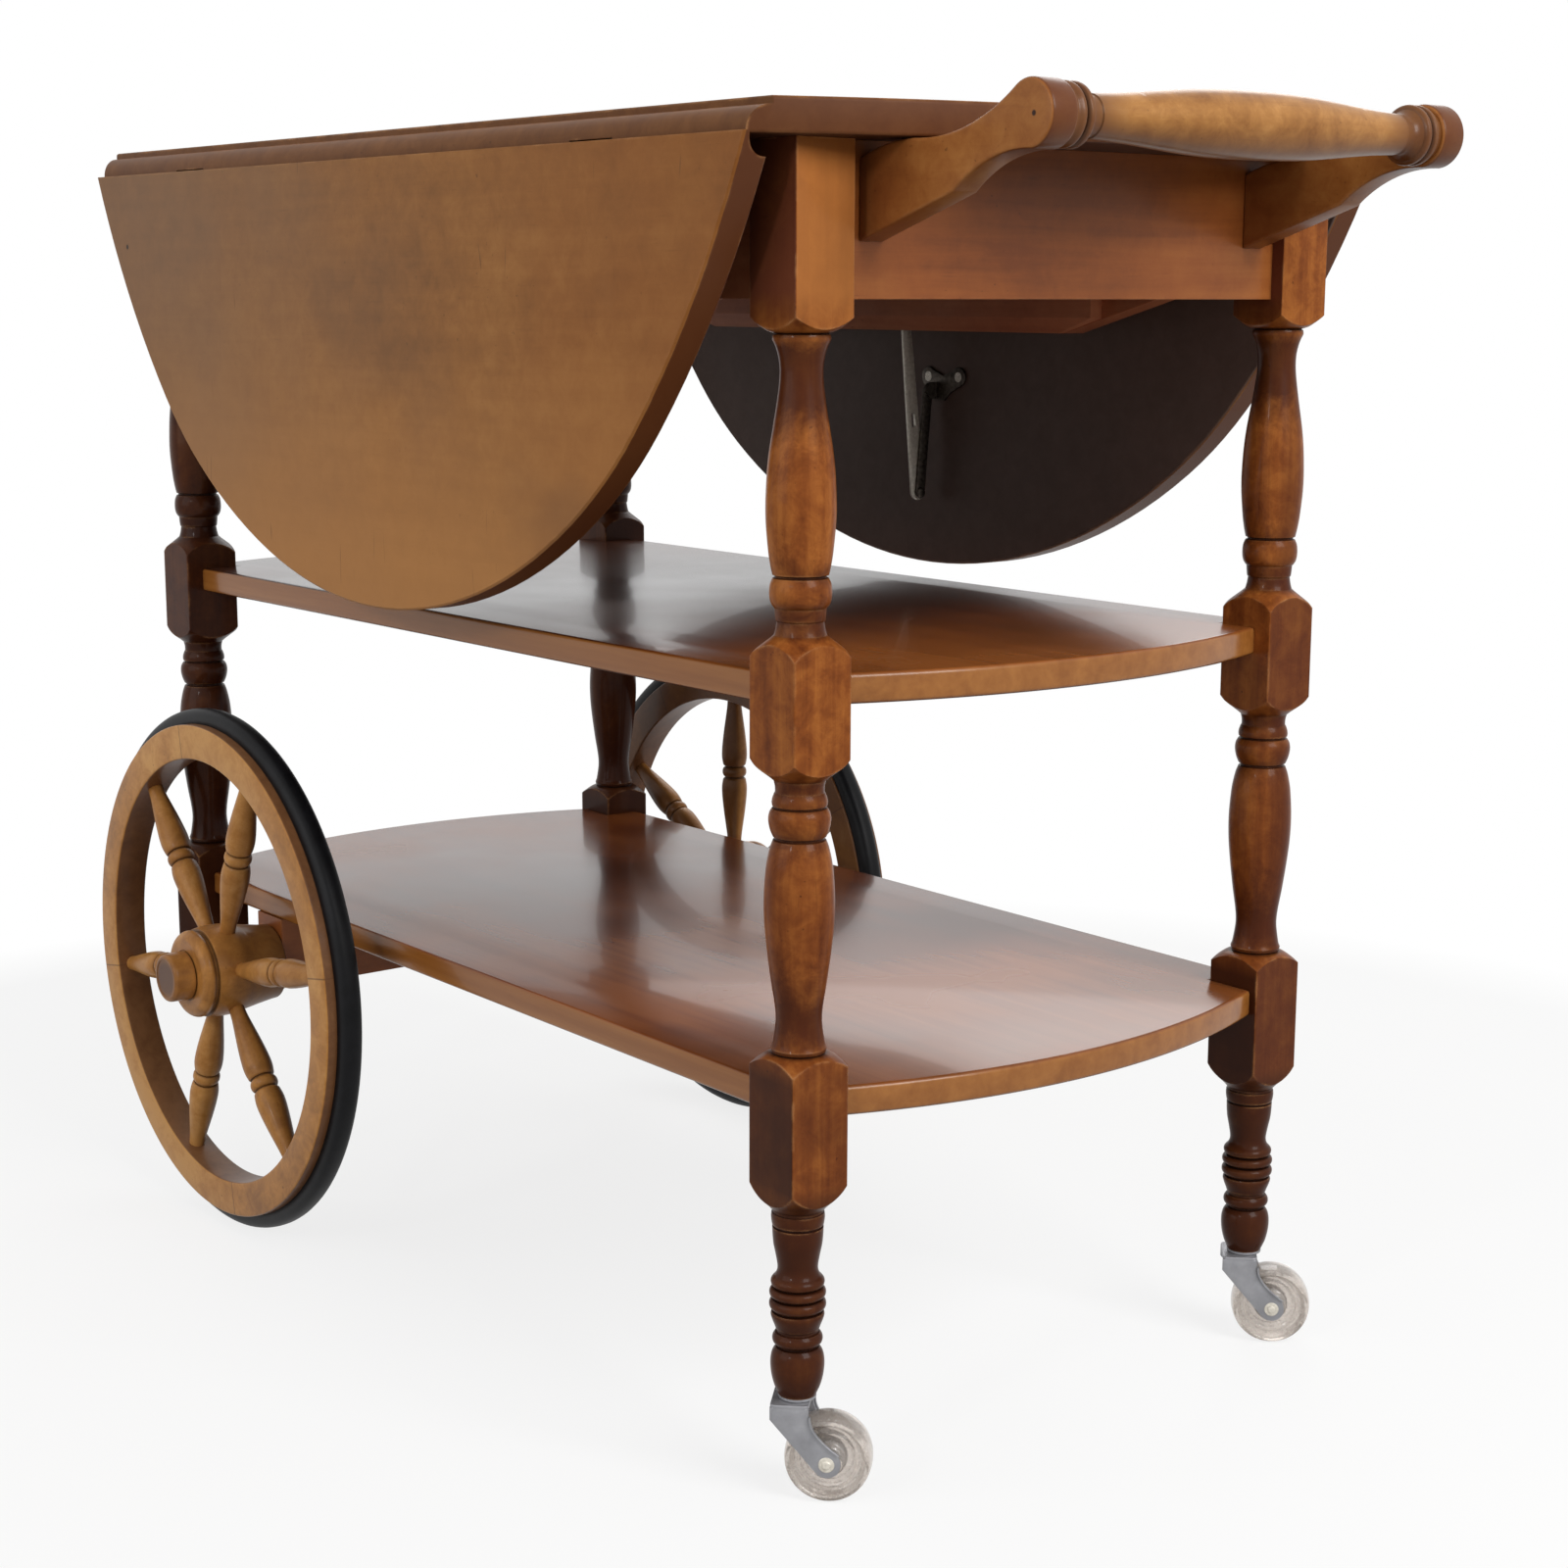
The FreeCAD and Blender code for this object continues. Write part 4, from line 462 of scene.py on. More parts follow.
def arm_wood():
    """Stain lies dark on the arms' edges and heads."""
    wood = Wood("handle_arm_wood", ARM, "x")
    edges = wood.faces("Y", 0.85, 0.5)
    head = wood.band("X", 0.425, 0.442, 0.55)
    wood.stain(wood.times(edges, wood.plus(head, 0.25)), (78, 38, 22))
    wood.stain(wood.band("X", 0.41, 0.34, 0.5), (112, 58, 32))
    wood.stain(wood.times(wood.spot(*ARM_PLUG), wood.band("Y", -0.15, -0.155)), (50, 26, 14))
    return wood.done(glaze=0.7, gloss=0.3, specular=0.14, wear=0.5)


def bar_wood():
    """The beads and necks keep their dark stain; the grip is rubbed pale."""
    wood = Wood("handle_bar_wood", HONEY, "y")
    ends = wood.mask(wood.math("MULTIPLY_ADD", wood.mottle, 0.03, wood.absolute(wood.axis("Y"))), 0.112, 0.136)
    wood.stain(ends, (84, 42, 22), 0.78)
    wood.stain(wood.mask(wood.facing("Z"), 0.0, -0.8, 0.55), (98, 56, 30))
    return wood.done(glaze=0.85, gloss=0.28)


def wheel_wood(name, grain="radius", rest=None, darker=0.0):
    """Pale wood, darker on the rim's inside, with painted shade on the wheel's back: on faces that look in
    towards the trolley and on the hub's inner end.
    """
    wood = Wood(name, MAPLE, grain, rest, (0.5, 0.08, 0.42))
    if darker:
        wood.stain(wood.patches(30.0, 0.35, 0.7, darker), (104, 58, 30))
    if rest is not None:
        inside = wood.faces("Y", 0.75, 0.35, 0.88)
        wood.stain(inside, wood.mix(wood.mottle, (72, 44, 30), (134, 90, 60)))
    elif grain == "y":
        # painted shade: the hub's inner end, towards the trolley, is darker
        across = wood.absolute(wood.axis("Y"))
        wood.stain(wood.mask(across, 0.226, 0.196, 0.6), (76, 46, 28))
        end = wood.mask(across, 0.2740, 0.2748, 0.85)
        wood.stain(wood.times(wood.spot(AXLE_X * MM, AXLE_Z * MM, 0.0136), end), (74, 44, 30))
    # painted shade: faces that look in towards the trolley are darker
    inward = wood.mask(wood.times(wood.axis("Y"), wood.facing("Y")), -0.01, -0.12, 0.75)
    wood.stain(inward, (72, 44, 30))
    return wood.done(glaze=0.8, gloss=0.34, specular=0.16, wear=0.5)


# ---- other materials
def rubber():
    shader = Shader("tyre_rubber")
    dust = shader.noise(shader.place(), 70.0, 5.0, 0.6)
    shader.paint(shader.ramp(dust, [(0.35, (6, 6, 8)), (0.75, (19, 19, 22))]))
    shader.set(Roughness=0.46, Specular_IOR_Level=0.15)
    shader.bump(shader.noise(shader.place(), 900.0, 2.0), 0.15, 0.0003)
    return shader.material


def metal(name, dark, light, rough, speck=400.0, metallic=1.0):
    shader = Shader(name)
    cloud = shader.noise(shader.place(), speck, 4.0, 0.6)
    shader.paint(shader.ramp(cloud, [(0.3, dark), (0.7, light)]))
    shader.set(Metallic=metallic)
    shader.link(shader.plus(shader.times(cloud, 0.2), rough), shader.body.inputs["Roughness"])
    shader.bump(cloud, 0.1, 0.0002, 0.0004)
    return shader.material


def clear_plastic():
    """Cloudy, scuffed clear plastic."""
    shader = Shader("caster_plastic")
    scuff = shader.noise(shader.place(), 420.0, 4.0, 0.7)
    shader.paint(shader.ramp(scuff, [(0.3, (210, 200, 191)), (0.7, (236, 228, 220))]))
    shader.set(Roughness=0.14, Transmission_Weight=0.7, IOR=1.45)
    shader.bump(scuff, 0.1, 0.0004)
    return shader.material


# ---- lines, in millimetres
def smooth(points, step):
    """Close points on a smooth curve through a run's points."""
    if len(points) < 3:
        return list(points)
    ends = [points[0]] + list(points) + [points[-1]]
    line = []
    for a, b, c, d in zip(ends, ends[1:], ends[2:], ends[3:]):
        count = max(1, round(math.dist(b, c) / step))
        for i in range(count):
            t = i / count
            line.append(tuple(0.5 * (2 * q + (r - p) * t + (2 * p - 5 * q + 4 * r - s) * t * t
                                     + (3 * q - p - 3 * r + s) * t ** 3) for p, q, r, s in zip(a, b, c, d)))
    return line + [points[-1]]


def turned(runs, start=0, span=1, step=1.4):
    """A turned piece's (height, radius) line: each run is smooth, and runs meet in a sharp corner."""
    return [p for run in runs for p in smooth([(start + span * share, radius) for share, radius in run], step)]


def path(points, step=2):
    """An outline of (x, y) corners and (x, y, radius, turn) arc ends; turn 1 runs counter-clockwise."""
    line = []
    for here, there in zip(points, points[1:] + points[:1]):
        start, end = Vector(here[:2]), Vector(there[:2])
        line.append(tuple(start))
        if len(there) == 4:
            radius, turn = there[2:]
            chord = end - start
            rise = math.sqrt(max(radius * radius - chord.length_squared / 4, 0))
            centre = (start + end) / 2 + Vector((-chord.y, chord.x)).normalized() * turn * rise
            first, last = start - centre, end - centre
            swing = turn * (turn * math.atan2(first.cross(last), first.dot(last)) % math.tau)
            count = max(3, round(abs(swing) * radius / step))
            for i in range(1, count):
                line.append(tuple(centre + Matrix.Rotation(swing * i / count, 2) @ first))
    return line


# ---- solids
# turns that lay local Z along Y and along X, and one that stands an outline upright, facing Y
LIE_Y = Matrix(((1, 0, 0), (0, 0, 1), (0, 1, 0)))
LIE_X = Matrix(((0, 0, 1), (1, 0, 0), (0, 1, 0)))
UPRIGHT = Matrix(((1, 0, 0), (0, 0, -1), (0, 1, 0)))
# the radius of the pole where a turned end closes
POLE = 0.05


def skin(rings, hollow=False):
    """Vertices and faces of a tube of rings: its ends are shut, or joined to each other if hollow."""
    count = len(rings[0])
    faces = []
    for level in range(len(rings) - (not hollow)):
        low, high = level * count, (level + 1) % len(rings) * count
        faces += [(low + i, low + (i + 1) % count, high + (i + 1) % count, high + i) for i in range(count)]
    if not hollow:
        faces += [tuple(range(count)), tuple(range((len(rings) - 1) * count, len(rings) * count))]
    return [p for ring in rings for p in ring], faces


def lathe(line, segments, hollow=False):
    """A piece turned about the local Z axis from its (height, radius) line; a solid one's ends close."""
    if not hollow:
        line = [(line[0][0], POLE)] + line
        if line[-1][1] > POLE:
            line.append((line[-1][0], POLE))
    turns = [math.tau * i / segments for i in range(segments)]
    return skin([[Vector((radius * math.cos(a), radius * math.sin(a), height)) for a in turns]
                 for height, radius in line], hollow)


def prism(outline, low, high):
    """An outline with sharp edges from low to high along local Z."""
    return skin([[Vector((x, y, z)) for x, y in outline] for z in (low, high)])


def board(outline, low, high, ease, steps=4):
    """An outline from low to high along local Z, with its long edges rounded."""
    count = len(outline)
    area = sum(Vector(outline[i - 1]).cross(Vector(outline[i])) for i in range(count))
    inward = []
    for i in range(count):
        here = Vector(outline[i])
        before, after = Vector(outline[i - 1]), Vector(outline[(i + 1) % count])
        a, b = (here - before).normalized(), (after - here).normalized()
        middle = (a + b).normalized()
        normal = Vector((-middle.y, middle.x)) * (1 if area > 0 else -1)
        inward.append(normal / max(0.5, middle.dot(b)))
    turns = [math.pi / 2 * i / steps for i in range(steps + 1)]
    levels = [(low + ease * (1 - math.sin(a)), ease * (1 - math.cos(a))) for a in reversed(turns)]
    levels += [(high - ease * (1 - math.sin(a)), ease * (1 - math.cos(a))) for a in turns]
    return skin([[Vector((*(Vector(p) + n * pull), height)) for p, n in zip(outline, inward)]
                 for height, pull in levels])


def placed(shape, turn=Matrix.Identity(3), at=(0, 0, 0)):
    """A (vertices, faces) shape turned and moved, still in millimetres."""
    verts, faces = shape
    return [turn @ Vector(v) + Vector(at) for v in verts], faces


def joined(shapes):
    verts, faces = [], []
    for more, some in shapes:
        faces += [tuple(i + len(verts) for i in face) for face in some]
        verts += more
    return verts, faces


def in_scene(name, data):
    """A new object in the scene."""
    obj = bpy.data.objects.new(name, data)
    bpy.context.scene.collection.objects.link(obj)
    return obj


def blank(name, shape):
    """A mesh object in metres from a shape in millimetres, its faces turned outwards."""
    verts, faces = shape
    mesh = bpy.data.meshes.new(name)
    mesh.from_pydata([tuple(Vector(v) * MM) for v in verts], [], faces)
    mesh.update()
    shaping = bmesh.new()
    shaping.from_mesh(mesh)
    bmesh.ops.recalc_face_normals(shaping, faces=shaping.faces)
    shaping.to_mesh(mesh)
    shaping.free()
    return in_scene(name, mesh)


def shade(obj, finish, body, crease=30):
    """Shades a piece smoothly between its creases and hangs it on its body."""
    mesh = obj.data
    mesh.polygons.foreach_set("use_smooth", [True] * len(mesh.polygons))
    mesh.set_sharp_from_angle(angle=math.radians(crease))
    mesh.materials.clear()
    mesh.materials.append(FINISHES[finish])
    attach(obj, body)


def finished(obj, finish, body, *nodes, crease=30):
    """A shaded piece that stands for its CAD nodes."""
    shade(obj, finish, body, crease)
    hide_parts(*nodes)
    for word, slot in SLOT_WORDS:
        if word in nodes[0]:
            break
    return obj


def piece(name, shape, finish, body, *nodes, crease=30):
    return finished(blank(name, shape), finish, body, *nodes, crease=crease)


def boolean(obj, other, operation):
    """The object changed by another, which goes away."""
    modifier = obj.modifiers.new("shape", "BOOLEAN")
    modifier.operation = operation
    modifier.solver = "EXACT"
    modifier.object = other
    bpy.context.view_layer.update()
    changed = bpy.data.meshes.new_from_object(obj.evaluated_get(bpy.context.evaluated_depsgraph_get()))
    obj.modifiers.clear()
    obj.data = changed
    bpy.data.objects.remove(other)
    return obj


# ---- posts
# the middle of the top, and how far the posts stand from it
MIDDLE_X = -36
POST_X, POST_Y = 355.5, 185
STOCK, STOCK_EASE = 19.5, 0.9
BEYOND_STOCK = 30
BLOCKS = ((745, 655), (476.5, 422.5), (251.5, 184.5))
FOOT_BOTTOM = 61

# turned lines of the posts: thousandths of the way from block to block, and radius
SHOULDER = [(0, 27.6), (22, 24.6), (46, 19.3), (59, 16.3), (66, 14.9)]
COLLAR = [(926, 14.6), (937, 15.4), (949, 15)]
FAR_SHOULDER = [(952, 13.9), (958, 17.2), (964, 19.4), (984, 24.3), (1000, 27.6)]
UPPER = [
    SHOULDER, [(69, 14.2), (88, 13.3), (110, 12.7)], [(114, 13.3), (132, 13.7), (150, 13.9)],
    [(153, 14.5), (165, 15.9), (182, 16.6), (204, 16.7), (224, 16.2), (239, 15)],
    [(242, 13.8), (246, 13.8)],
    [(249, 15.1), (269, 15.9), (291, 16.6), (314, 17.2), (359, 18), (403, 18.6), (448, 18.8),
     (493, 18.6), (538, 18.2), (583, 17.5), (627, 16.5), (672, 15.2), (717, 13.9), (762, 12.7),
     (807, 11.7), (840, 11.4), (870, 11.7), (900, 12.8), (922, 14.2)],
    COLLAR, FAR_SHOULDER,
]
LOWER = [
    SHOULDER, [(69, 14.2), (90, 13.4), (108, 13.4)],
    [(112, 13.9), (128, 14.9), (140, 15.2), (150, 14.9)], [(153, 13.9), (156, 13.9)],
    [(159, 15), (172, 16.4), (190, 17), (208, 16.8), (230, 15.9), (249, 14.5)],
    [(252, 13.3), (257, 13.3)],
    [(261, 14.5), (281, 15.8), (304, 16.8), (327, 17.6), (351, 18.2), (398, 18.9), (444, 19.3),
     (490, 19.3), (540, 18.9), (585, 18.2), (632, 17.3), (678, 16.3), (725, 15.2), (772, 13.9),
     (800, 13.2), (832, 12.7), (860, 12.8), (895, 13.6), (922, 14.4)],
    COLLAR, FAR_SHOULDER,
]
FOOT = [
    [(0, 27.6), (30, 25.2), (60, 21.9), (85, 18.5), (100, 16.6), (113, 15.2)],
    [(117, 14.1), (130, 14.1)], [(133, 14.7), (150, 15), (172, 14.8), (190, 14.4)],
    [(193, 13.3), (199, 13.3)],
    [(202, 14.3), (245, 14.1), (285, 13.6), (325, 12.6), (365, 11.7), (393, 11.3), (415, 11.7),
     (434, 12.9)],
    [(438, 13.6), (450, 14.8), (462, 15.1), (473, 14.8), (480, 14)], [(482, 12.6), (487, 12.6)],
    [(490, 14.3), (499, 15.5), (512, 15.9), (525, 15.5), (533, 14.3)], [(535, 12.8), (540, 12.8)],
    [(543, 14.4), (553, 15.6), (567, 16), (581, 15.6), (592, 14.4)], [(594, 13), (600, 13)],
    [(603, 14.6), (616, 15.1), (640, 14.3), (665, 13.1), (682, 12.4)], [(685, 11.5), (698, 11.5)],
    [(702, 12.6), (716, 13.8), (732, 14.2), (747, 13.7), (757, 12.6)], [(760, 11), (768, 11)],
    [(772, 12.3), (792, 14), (822, 15), (860, 15.2), (905, 14.6), (948, 13.3), (978, 11.8),
     (1000, 10.5)],
]


def post(end_name, end, side_name, side):
    """Turned between three square blocks; the blocks are what is left of the square stock."""
    (top, top_low), (middle, middle_low), (low, low_end) = BLOCKS
    line = [(top + 2, BEYOND_STOCK), (top_low, BEYOND_STOCK)]
    line += turned(UPPER, middle, (top_low - middle) / 1000)[::-1]
    line += [(middle, BEYOND_STOCK), (middle_low, BEYOND_STOCK)]
    line += turned(LOWER, middle_low, (low - middle_low) / 1000)
    line += [(low, BEYOND_STOCK), (low_end, BEYOND_STOCK)]
    foot = FOOT if end_name == "handle" else FOOT[:1]
    line += turned(foot, low_end, (FOOT_BOTTOM - low_end) / 1000, 1)
    at = (MIDDLE_X + POST_X * end, POST_Y * side, 0)
    name = "post_%s_%s" % (end_name, side_name)
    obj = blank(name + "_turning", placed(lathe(line, 64), at=at))
    square = [(x * (STOCK - STOCK_EASE * (1 - math.cos(a))), y * (STOCK - STOCK_EASE * (1 - math.sin(a))))
              for x in (-1, 1) for y in (-1, 1) for a in (0, math.pi / 6, math.pi / 3, math.pi / 2)]
    square.sort(key=lambda p: math.atan2(p[1], p[0]))
    stock = blank(name + "_stock", placed(prism(square, line[-1][0] - 3, top), at=at))
    finished(boolean(obj, stock, "INTERSECT"), "post", "root", name, crease=28)


# ---- top
TOP_LOW, TOP_HIGH = 745, 763.5
TOP_HALF, OVOLO_HALF = 225, 237.5
TOP_REACH, END_BOW = 427, 570
OVOLO_LOW, OVOLO_HIGH, OVOLO_RADIUS = 747, 759.5, 12.5
HINGE_OUT, HOUSING_HALF = 240, 20.3
# the hinges' housings, from y to y and their height: the plate's, the swing's and the barrel's
HOUSINGS = ((200, 238.5, 1.6), (225, 238.6, 2.4), (221.7, 228.3, 5.3))


def top_board():
    """Bowed, rounded ends; a step and a quarter round along both long edges; hinge housings."""
    corner = TOP_REACH - END_BOW + math.sqrt(END_BOW ** 2 - OVOLO_HALF ** 2)
    outline = path([(corner, -OVOLO_HALF - 3), (corner, OVOLO_HALF + 3, END_BOW, 1),
                    (-corner, OVOLO_HALF + 3), (-corner, -OVOLO_HALF - 3, END_BOW, 1)], 6)
    obj = blank("top_panel", placed(board(outline, TOP_LOW, TOP_HIGH, 2), at=(MIDDLE_X, 0, 0)))
    right = [(OVOLO_HALF, TOP_LOW - 1), (OVOLO_HALF, OVOLO_LOW), (TOP_HALF, OVOLO_HIGH, OVOLO_RADIUS, 1),
             (TOP_HALF, TOP_HIGH - 0.8), (TOP_HALF - 0.8, TOP_HIGH + 0.001), (TOP_HALF - 2, TOP_HIGH + 1)]
    left = [(-OVOLO_HALF, OVOLO_LOW, OVOLO_RADIUS, 1), (-OVOLO_HALF, TOP_LOW - 1)]
    section = path(right + [(2 - TOP_HALF, TOP_HIGH + 1), (0.8 - TOP_HALF, TOP_HIGH + 0.001),
                            (-TOP_HALF, TOP_HIGH - 0.8), (-TOP_HALF, OVOLO_HIGH)] + left, 0.9)
    beam = placed(prism(section, -500, 500), LIE_X, (MIDDLE_X, 0, 0))
    boolean(obj, blank("top_section", beam), "INTERSECT")
    for near, away, height in HOUSINGS:
        boxes = []
        for end in (-1, 1):
            x = MIDDLE_X + HINGE_OUT * end
            for side in (-1, 1):
                low, high = sorted((near * side, away * side))
                box = ((x - HOUSING_HALF, low), (x + HOUSING_HALF, low),
                       (x + HOUSING_HALF, high), (x - HOUSING_HALF, high))
                boxes.append(prism(box, TOP_LOW - 1, TOP_LOW + height))
        boolean(obj, blank("top_housing", joined(boxes)), "DIFFERENCE")
    finished(obj, "top", "root", "top_board")


# ---- shelves
SHELVES = (("middle_shelf", 450, 467, 395), ("lower_shelf", 222, 239, 402))
SHELF_HALF = 192.5
SHELF_BOW = 438


def shelf(name, low, high, reach):
    """A board between the posts' blocks, with bowed ends and rounded edges."""
    x, y = POST_X - STOCK, POST_Y - STOCK
    corner = reach - SHELF_BOW + math.sqrt(SHELF_BOW ** 2 - y ** 2)
    outline = path([
        (x, -SHELF_HALF), (x, -y), (corner, -y), (corner, y, SHELF_BOW, 1), (x, y), (x, SHELF_HALF),
        (-x, SHELF_HALF), (-x, y), (-corner, y), (-corner, -y, SHELF_BOW, 1), (-x, -y), (-x, -SHELF_HALF),
    ], 4)
    shape = placed(board(outline, low, high, 2.6), at=(MIDDLE_X, 0, 0))
    piece(name + "_board", shape, "shelf", "root", name)


# ---- handle
APRON_FACE = 366
GRIP_HEIGHT = 752.5
GRIP_OUT = 126
HEAD = 17
ARM_INNER, ARM_OUTER = 138.5, 156
ARM_FOOT = (693.5, 736)
ARM_GAP = 0.8
BAR_HALF, TENON = 150, 6


def handle_arm(side_name, side):
    """A bracket that curves up clear of the top board to a round head on the bar."""
    bow = math.sqrt(END_BOW ** 2 - ARM_INNER ** 2)
    clear = TOP_REACH - END_BOW + bow - APRON_FACE + ARM_GAP
    outline = path([
        (0, ARM_FOOT[0]), (0, ARM_FOOT[1]), (clear, TOP_LOW - ARM_GAP, 103, -1),
        (GRIP_OUT - HEAD * 0.6, GRIP_HEIGHT + HEAD * 0.8, 110, 1), (GRIP_OUT + HEAD, GRIP_HEIGHT, HEAD, -1),
        (GRIP_OUT + HEAD * 0.118, GRIP_HEIGHT - HEAD * 0.993, HEAD, -1), (72, ARM_FOOT[0] + 23.2, 79, 1),
    ], 1.5)
    name = "handle_arm_" + side_name
    shape = board(outline, -ARM_OUTER, -ARM_INNER, 1.8)
    turn = Matrix(((1, 0, 0), (0, 0, -side), (0, 1, 0)))
    piece(name + "_bracket", placed(shape, turn, (MIDDLE_X + APRON_FACE, 0, 0)), "arm", "root", name)


def handle_bar():
    """The grip swells to its middle and has two beads and a neck near each arm."""
    half = [
        [(ARM_INNER, TENON), (ARM_INNER, 14.6)], [(136.6, 14.8), (136.2, 14.8)],
        [(135.9, 14.9), (134.6, 16), (133.4, 16.3), (132.2, 16), (131.2, 14.9)],
        [(130.8, 14), (130.4, 14)],
        [(130, 14.9), (128.9, 16), (127.7, 16.3), (126.6, 16), (125.7, 14.9)],
        [(125.4, 13.6), (122.5, 10.9), (119.5, 10.3), (116, 10.4)],
        [(115.6, 11), (108, 11.3), (97, 11.9), (84, 12.9)],
        [(84, 12.9), (64, 14.7), (42, 16.4), (20, 17.2), (0, 17.4)],
    ]
    line = turned(half, step=2)
    whole = [(BAR_HALF, TENON)] + line + [(-h, r) for h, r in line[-2::-1]] + [(-BAR_HALF, TENON)]
    shape = placed(lathe(whole, 56), LIE_Y, (MIDDLE_X + APRON_FACE + GRIP_OUT, 0, GRIP_HEIGHT))
    piece("handle_bar_turning", shape, "bar", "root", "handle_bar")


# ---- big wheels
AXLE_X, AXLE_Z = MIDDLE_X - 249, 188
TRACK = 231.5
RIM_OUTER, RIM_INNER, RIM_HALF = 177.5, 153, 12
RESTS_AT = {"near": 10, "far": 30}
RIM_SEGMENTS = 180
SPOKE_MIDDLE = 93
# the tyre's section: points, middle and half size along the axle, then outwards
TYRE = 28, -3, 8, 180.2, 7.8
SPOKE_HALF = [
    [(0, 9.8), (1.5, 9.7), (3, 9.1), (3.9, 8.2)], [(4.2, 7.5), (4.9, 7.5)], [(5.2, 8.6), (6.2, 9.3)],
    [(6.2, 9.3), (10, 10), (14.5, 10.3), (22, 9.9), (33, 8.7), (44, 7.2), (53, 6), (60, 5.5)],
    [(60, 5.5), (66.5, 5.5)],
]


def wheel_place(side_name, side, shape):
    """Local Z points outwards along the axle; the wheel stands at its own rest angle."""
    out = Matrix(((1, 0, 0), (0, 0, side), (0, -side, 0)))
    turn = out @ Matrix.Rotation(math.radians(RESTS_AT[side_name]), 3, "Z")
    return placed(shape, turn, (AXLE_X, TRACK * side, AXLE_Z))


def ring_line(inner, outer, low, high, ease, steps=4):
    """The closed section of a ring with its four long edges rounded."""
    turns = [math.pi / 2 * i / steps for i in range(steps + 1)]
    line = []
    for x, y, start in ((outer, high, 0), (inner, high, math.pi / 2), (inner, low, math.pi),
                        (outer, low, -math.pi / 2)):
        cx = x - math.copysign(ease, x - (inner + outer) / 2)
        cy = y - math.copysign(ease, y - (low + high) / 2)
        line += [(cy + ease * math.sin(start + a), cx + ease * math.cos(start + a)) for a in turns]
    return line


def big_wheel(side_name, side):
    name = side_name + "_wheel"

    def part(word, shape, finish, node):
        piece(name + word, wheel_place(side_name, side, shape), finish, name, name + node)

    rim = lathe(ring_line(RIM_INNER, RIM_OUTER, -RIM_HALF, RIM_HALF, 1.4), RIM_SEGMENTS, True)
    part("_rim", rim, name + "_rim", "_felloes")
    count, middle, half_width, radius, half_height = TYRE
    tyre_line = []
    for i in range(count):
        x, y = math.cos(math.tau * i / count), math.sin(math.tau * i / count)
        tyre_line.append((math.copysign(abs(y) ** 0.8, y) * half_width + middle,
                          radius + math.copysign(abs(x) ** 0.85, x) * half_height))
    part("_rubber", lathe(tyre_line, RIM_SEGMENTS, True), "tyre", "_tyre")
    half = turned(SPOKE_HALF, step=1.6)
    line = [(SPOKE_MIDDLE - h, r) for h, r in half[:0:-1]] + [(SPOKE_MIDDLE + h, r) for h, r in half]
    spoke = lathe(line, 28)
    lying = Matrix(((0, 0, 1), (0, 1, 0), (-1, 0, 0)))
    spokes = [placed(spoke, Matrix.Rotation(math.tau * i / 6, 3, "Z") @ lying) for i in range(6)]
    part("_spoke_set", joined(spokes), "spoke", "_spokes")
    hub_line = turned([
        [(-38.6, 5.1), (-38.6, 25.6)], [(-37.4, 27), (-32, 27.6), (-22, 29.2), (-12, 31)],
        [(-12, 31), (-4, 32.6), (3, 33), (10, 32.8), (16.6, 31.8)], [(17, 29.5), (19, 29.5)],
        [(19.2, 30.4), (20.4, 31.1), (22.4, 31.2), (24.6, 30.4), (26.6, 28.8), (27.7, 26.8), (28, 25.4)],
        [(28, 25.4), (28, 18.2)], [(27.4, 17.6), (27.4, 12)], [(22, 12), (22, 5.1)],
    ], step=1.5)
    part("_hub_turning", lathe(hub_line, 64, True), "hub", "_hub")
    cap_line = turned([
        [(24, 11.9)], [(28.1, 11.9), (28.1, 16.6)],
        [(28.4, 17.2), (29.6, 17.4), (38, 17.2), (41.8, 17), (43.2, 16.4), (43.9, 15.4), (44, 14.9)],
        [(44, 14.9), (44, 13.7)], [(43.5, 13.2)],
    ], step=1)
    part("_cap_turning", lathe(cap_line, 56), "hub", "_hub_cap")


# ---- casters
SWIVEL_X = MIDDLE_X + POST_X
TRAIL = 18
CASTER_Z = 25
CROWN, STEM_TOP = 59.1, 93.1
CHEEKS = (-14.3, -12.1), (12.1, 14.3)
LIPS = (-15.8, -13.7), (13.7, 15.8)
FORK_HOLLOW = smooth([(24.2, 30.8), (17.4, 36), (11.4, 42.5), (8.2, 49), (8, 57.5)], 1.2)


def caster_place(side, shape):
    return placed(shape, Matrix.Rotation(math.radians(45), 3, "Z"), (SWIVEL_X, POST_Y * side, 0))


def on_caster_axle(side, shape):
    return caster_place(side, placed(shape, LIE_Y, (TRAIL, 0, CASTER_Z)))


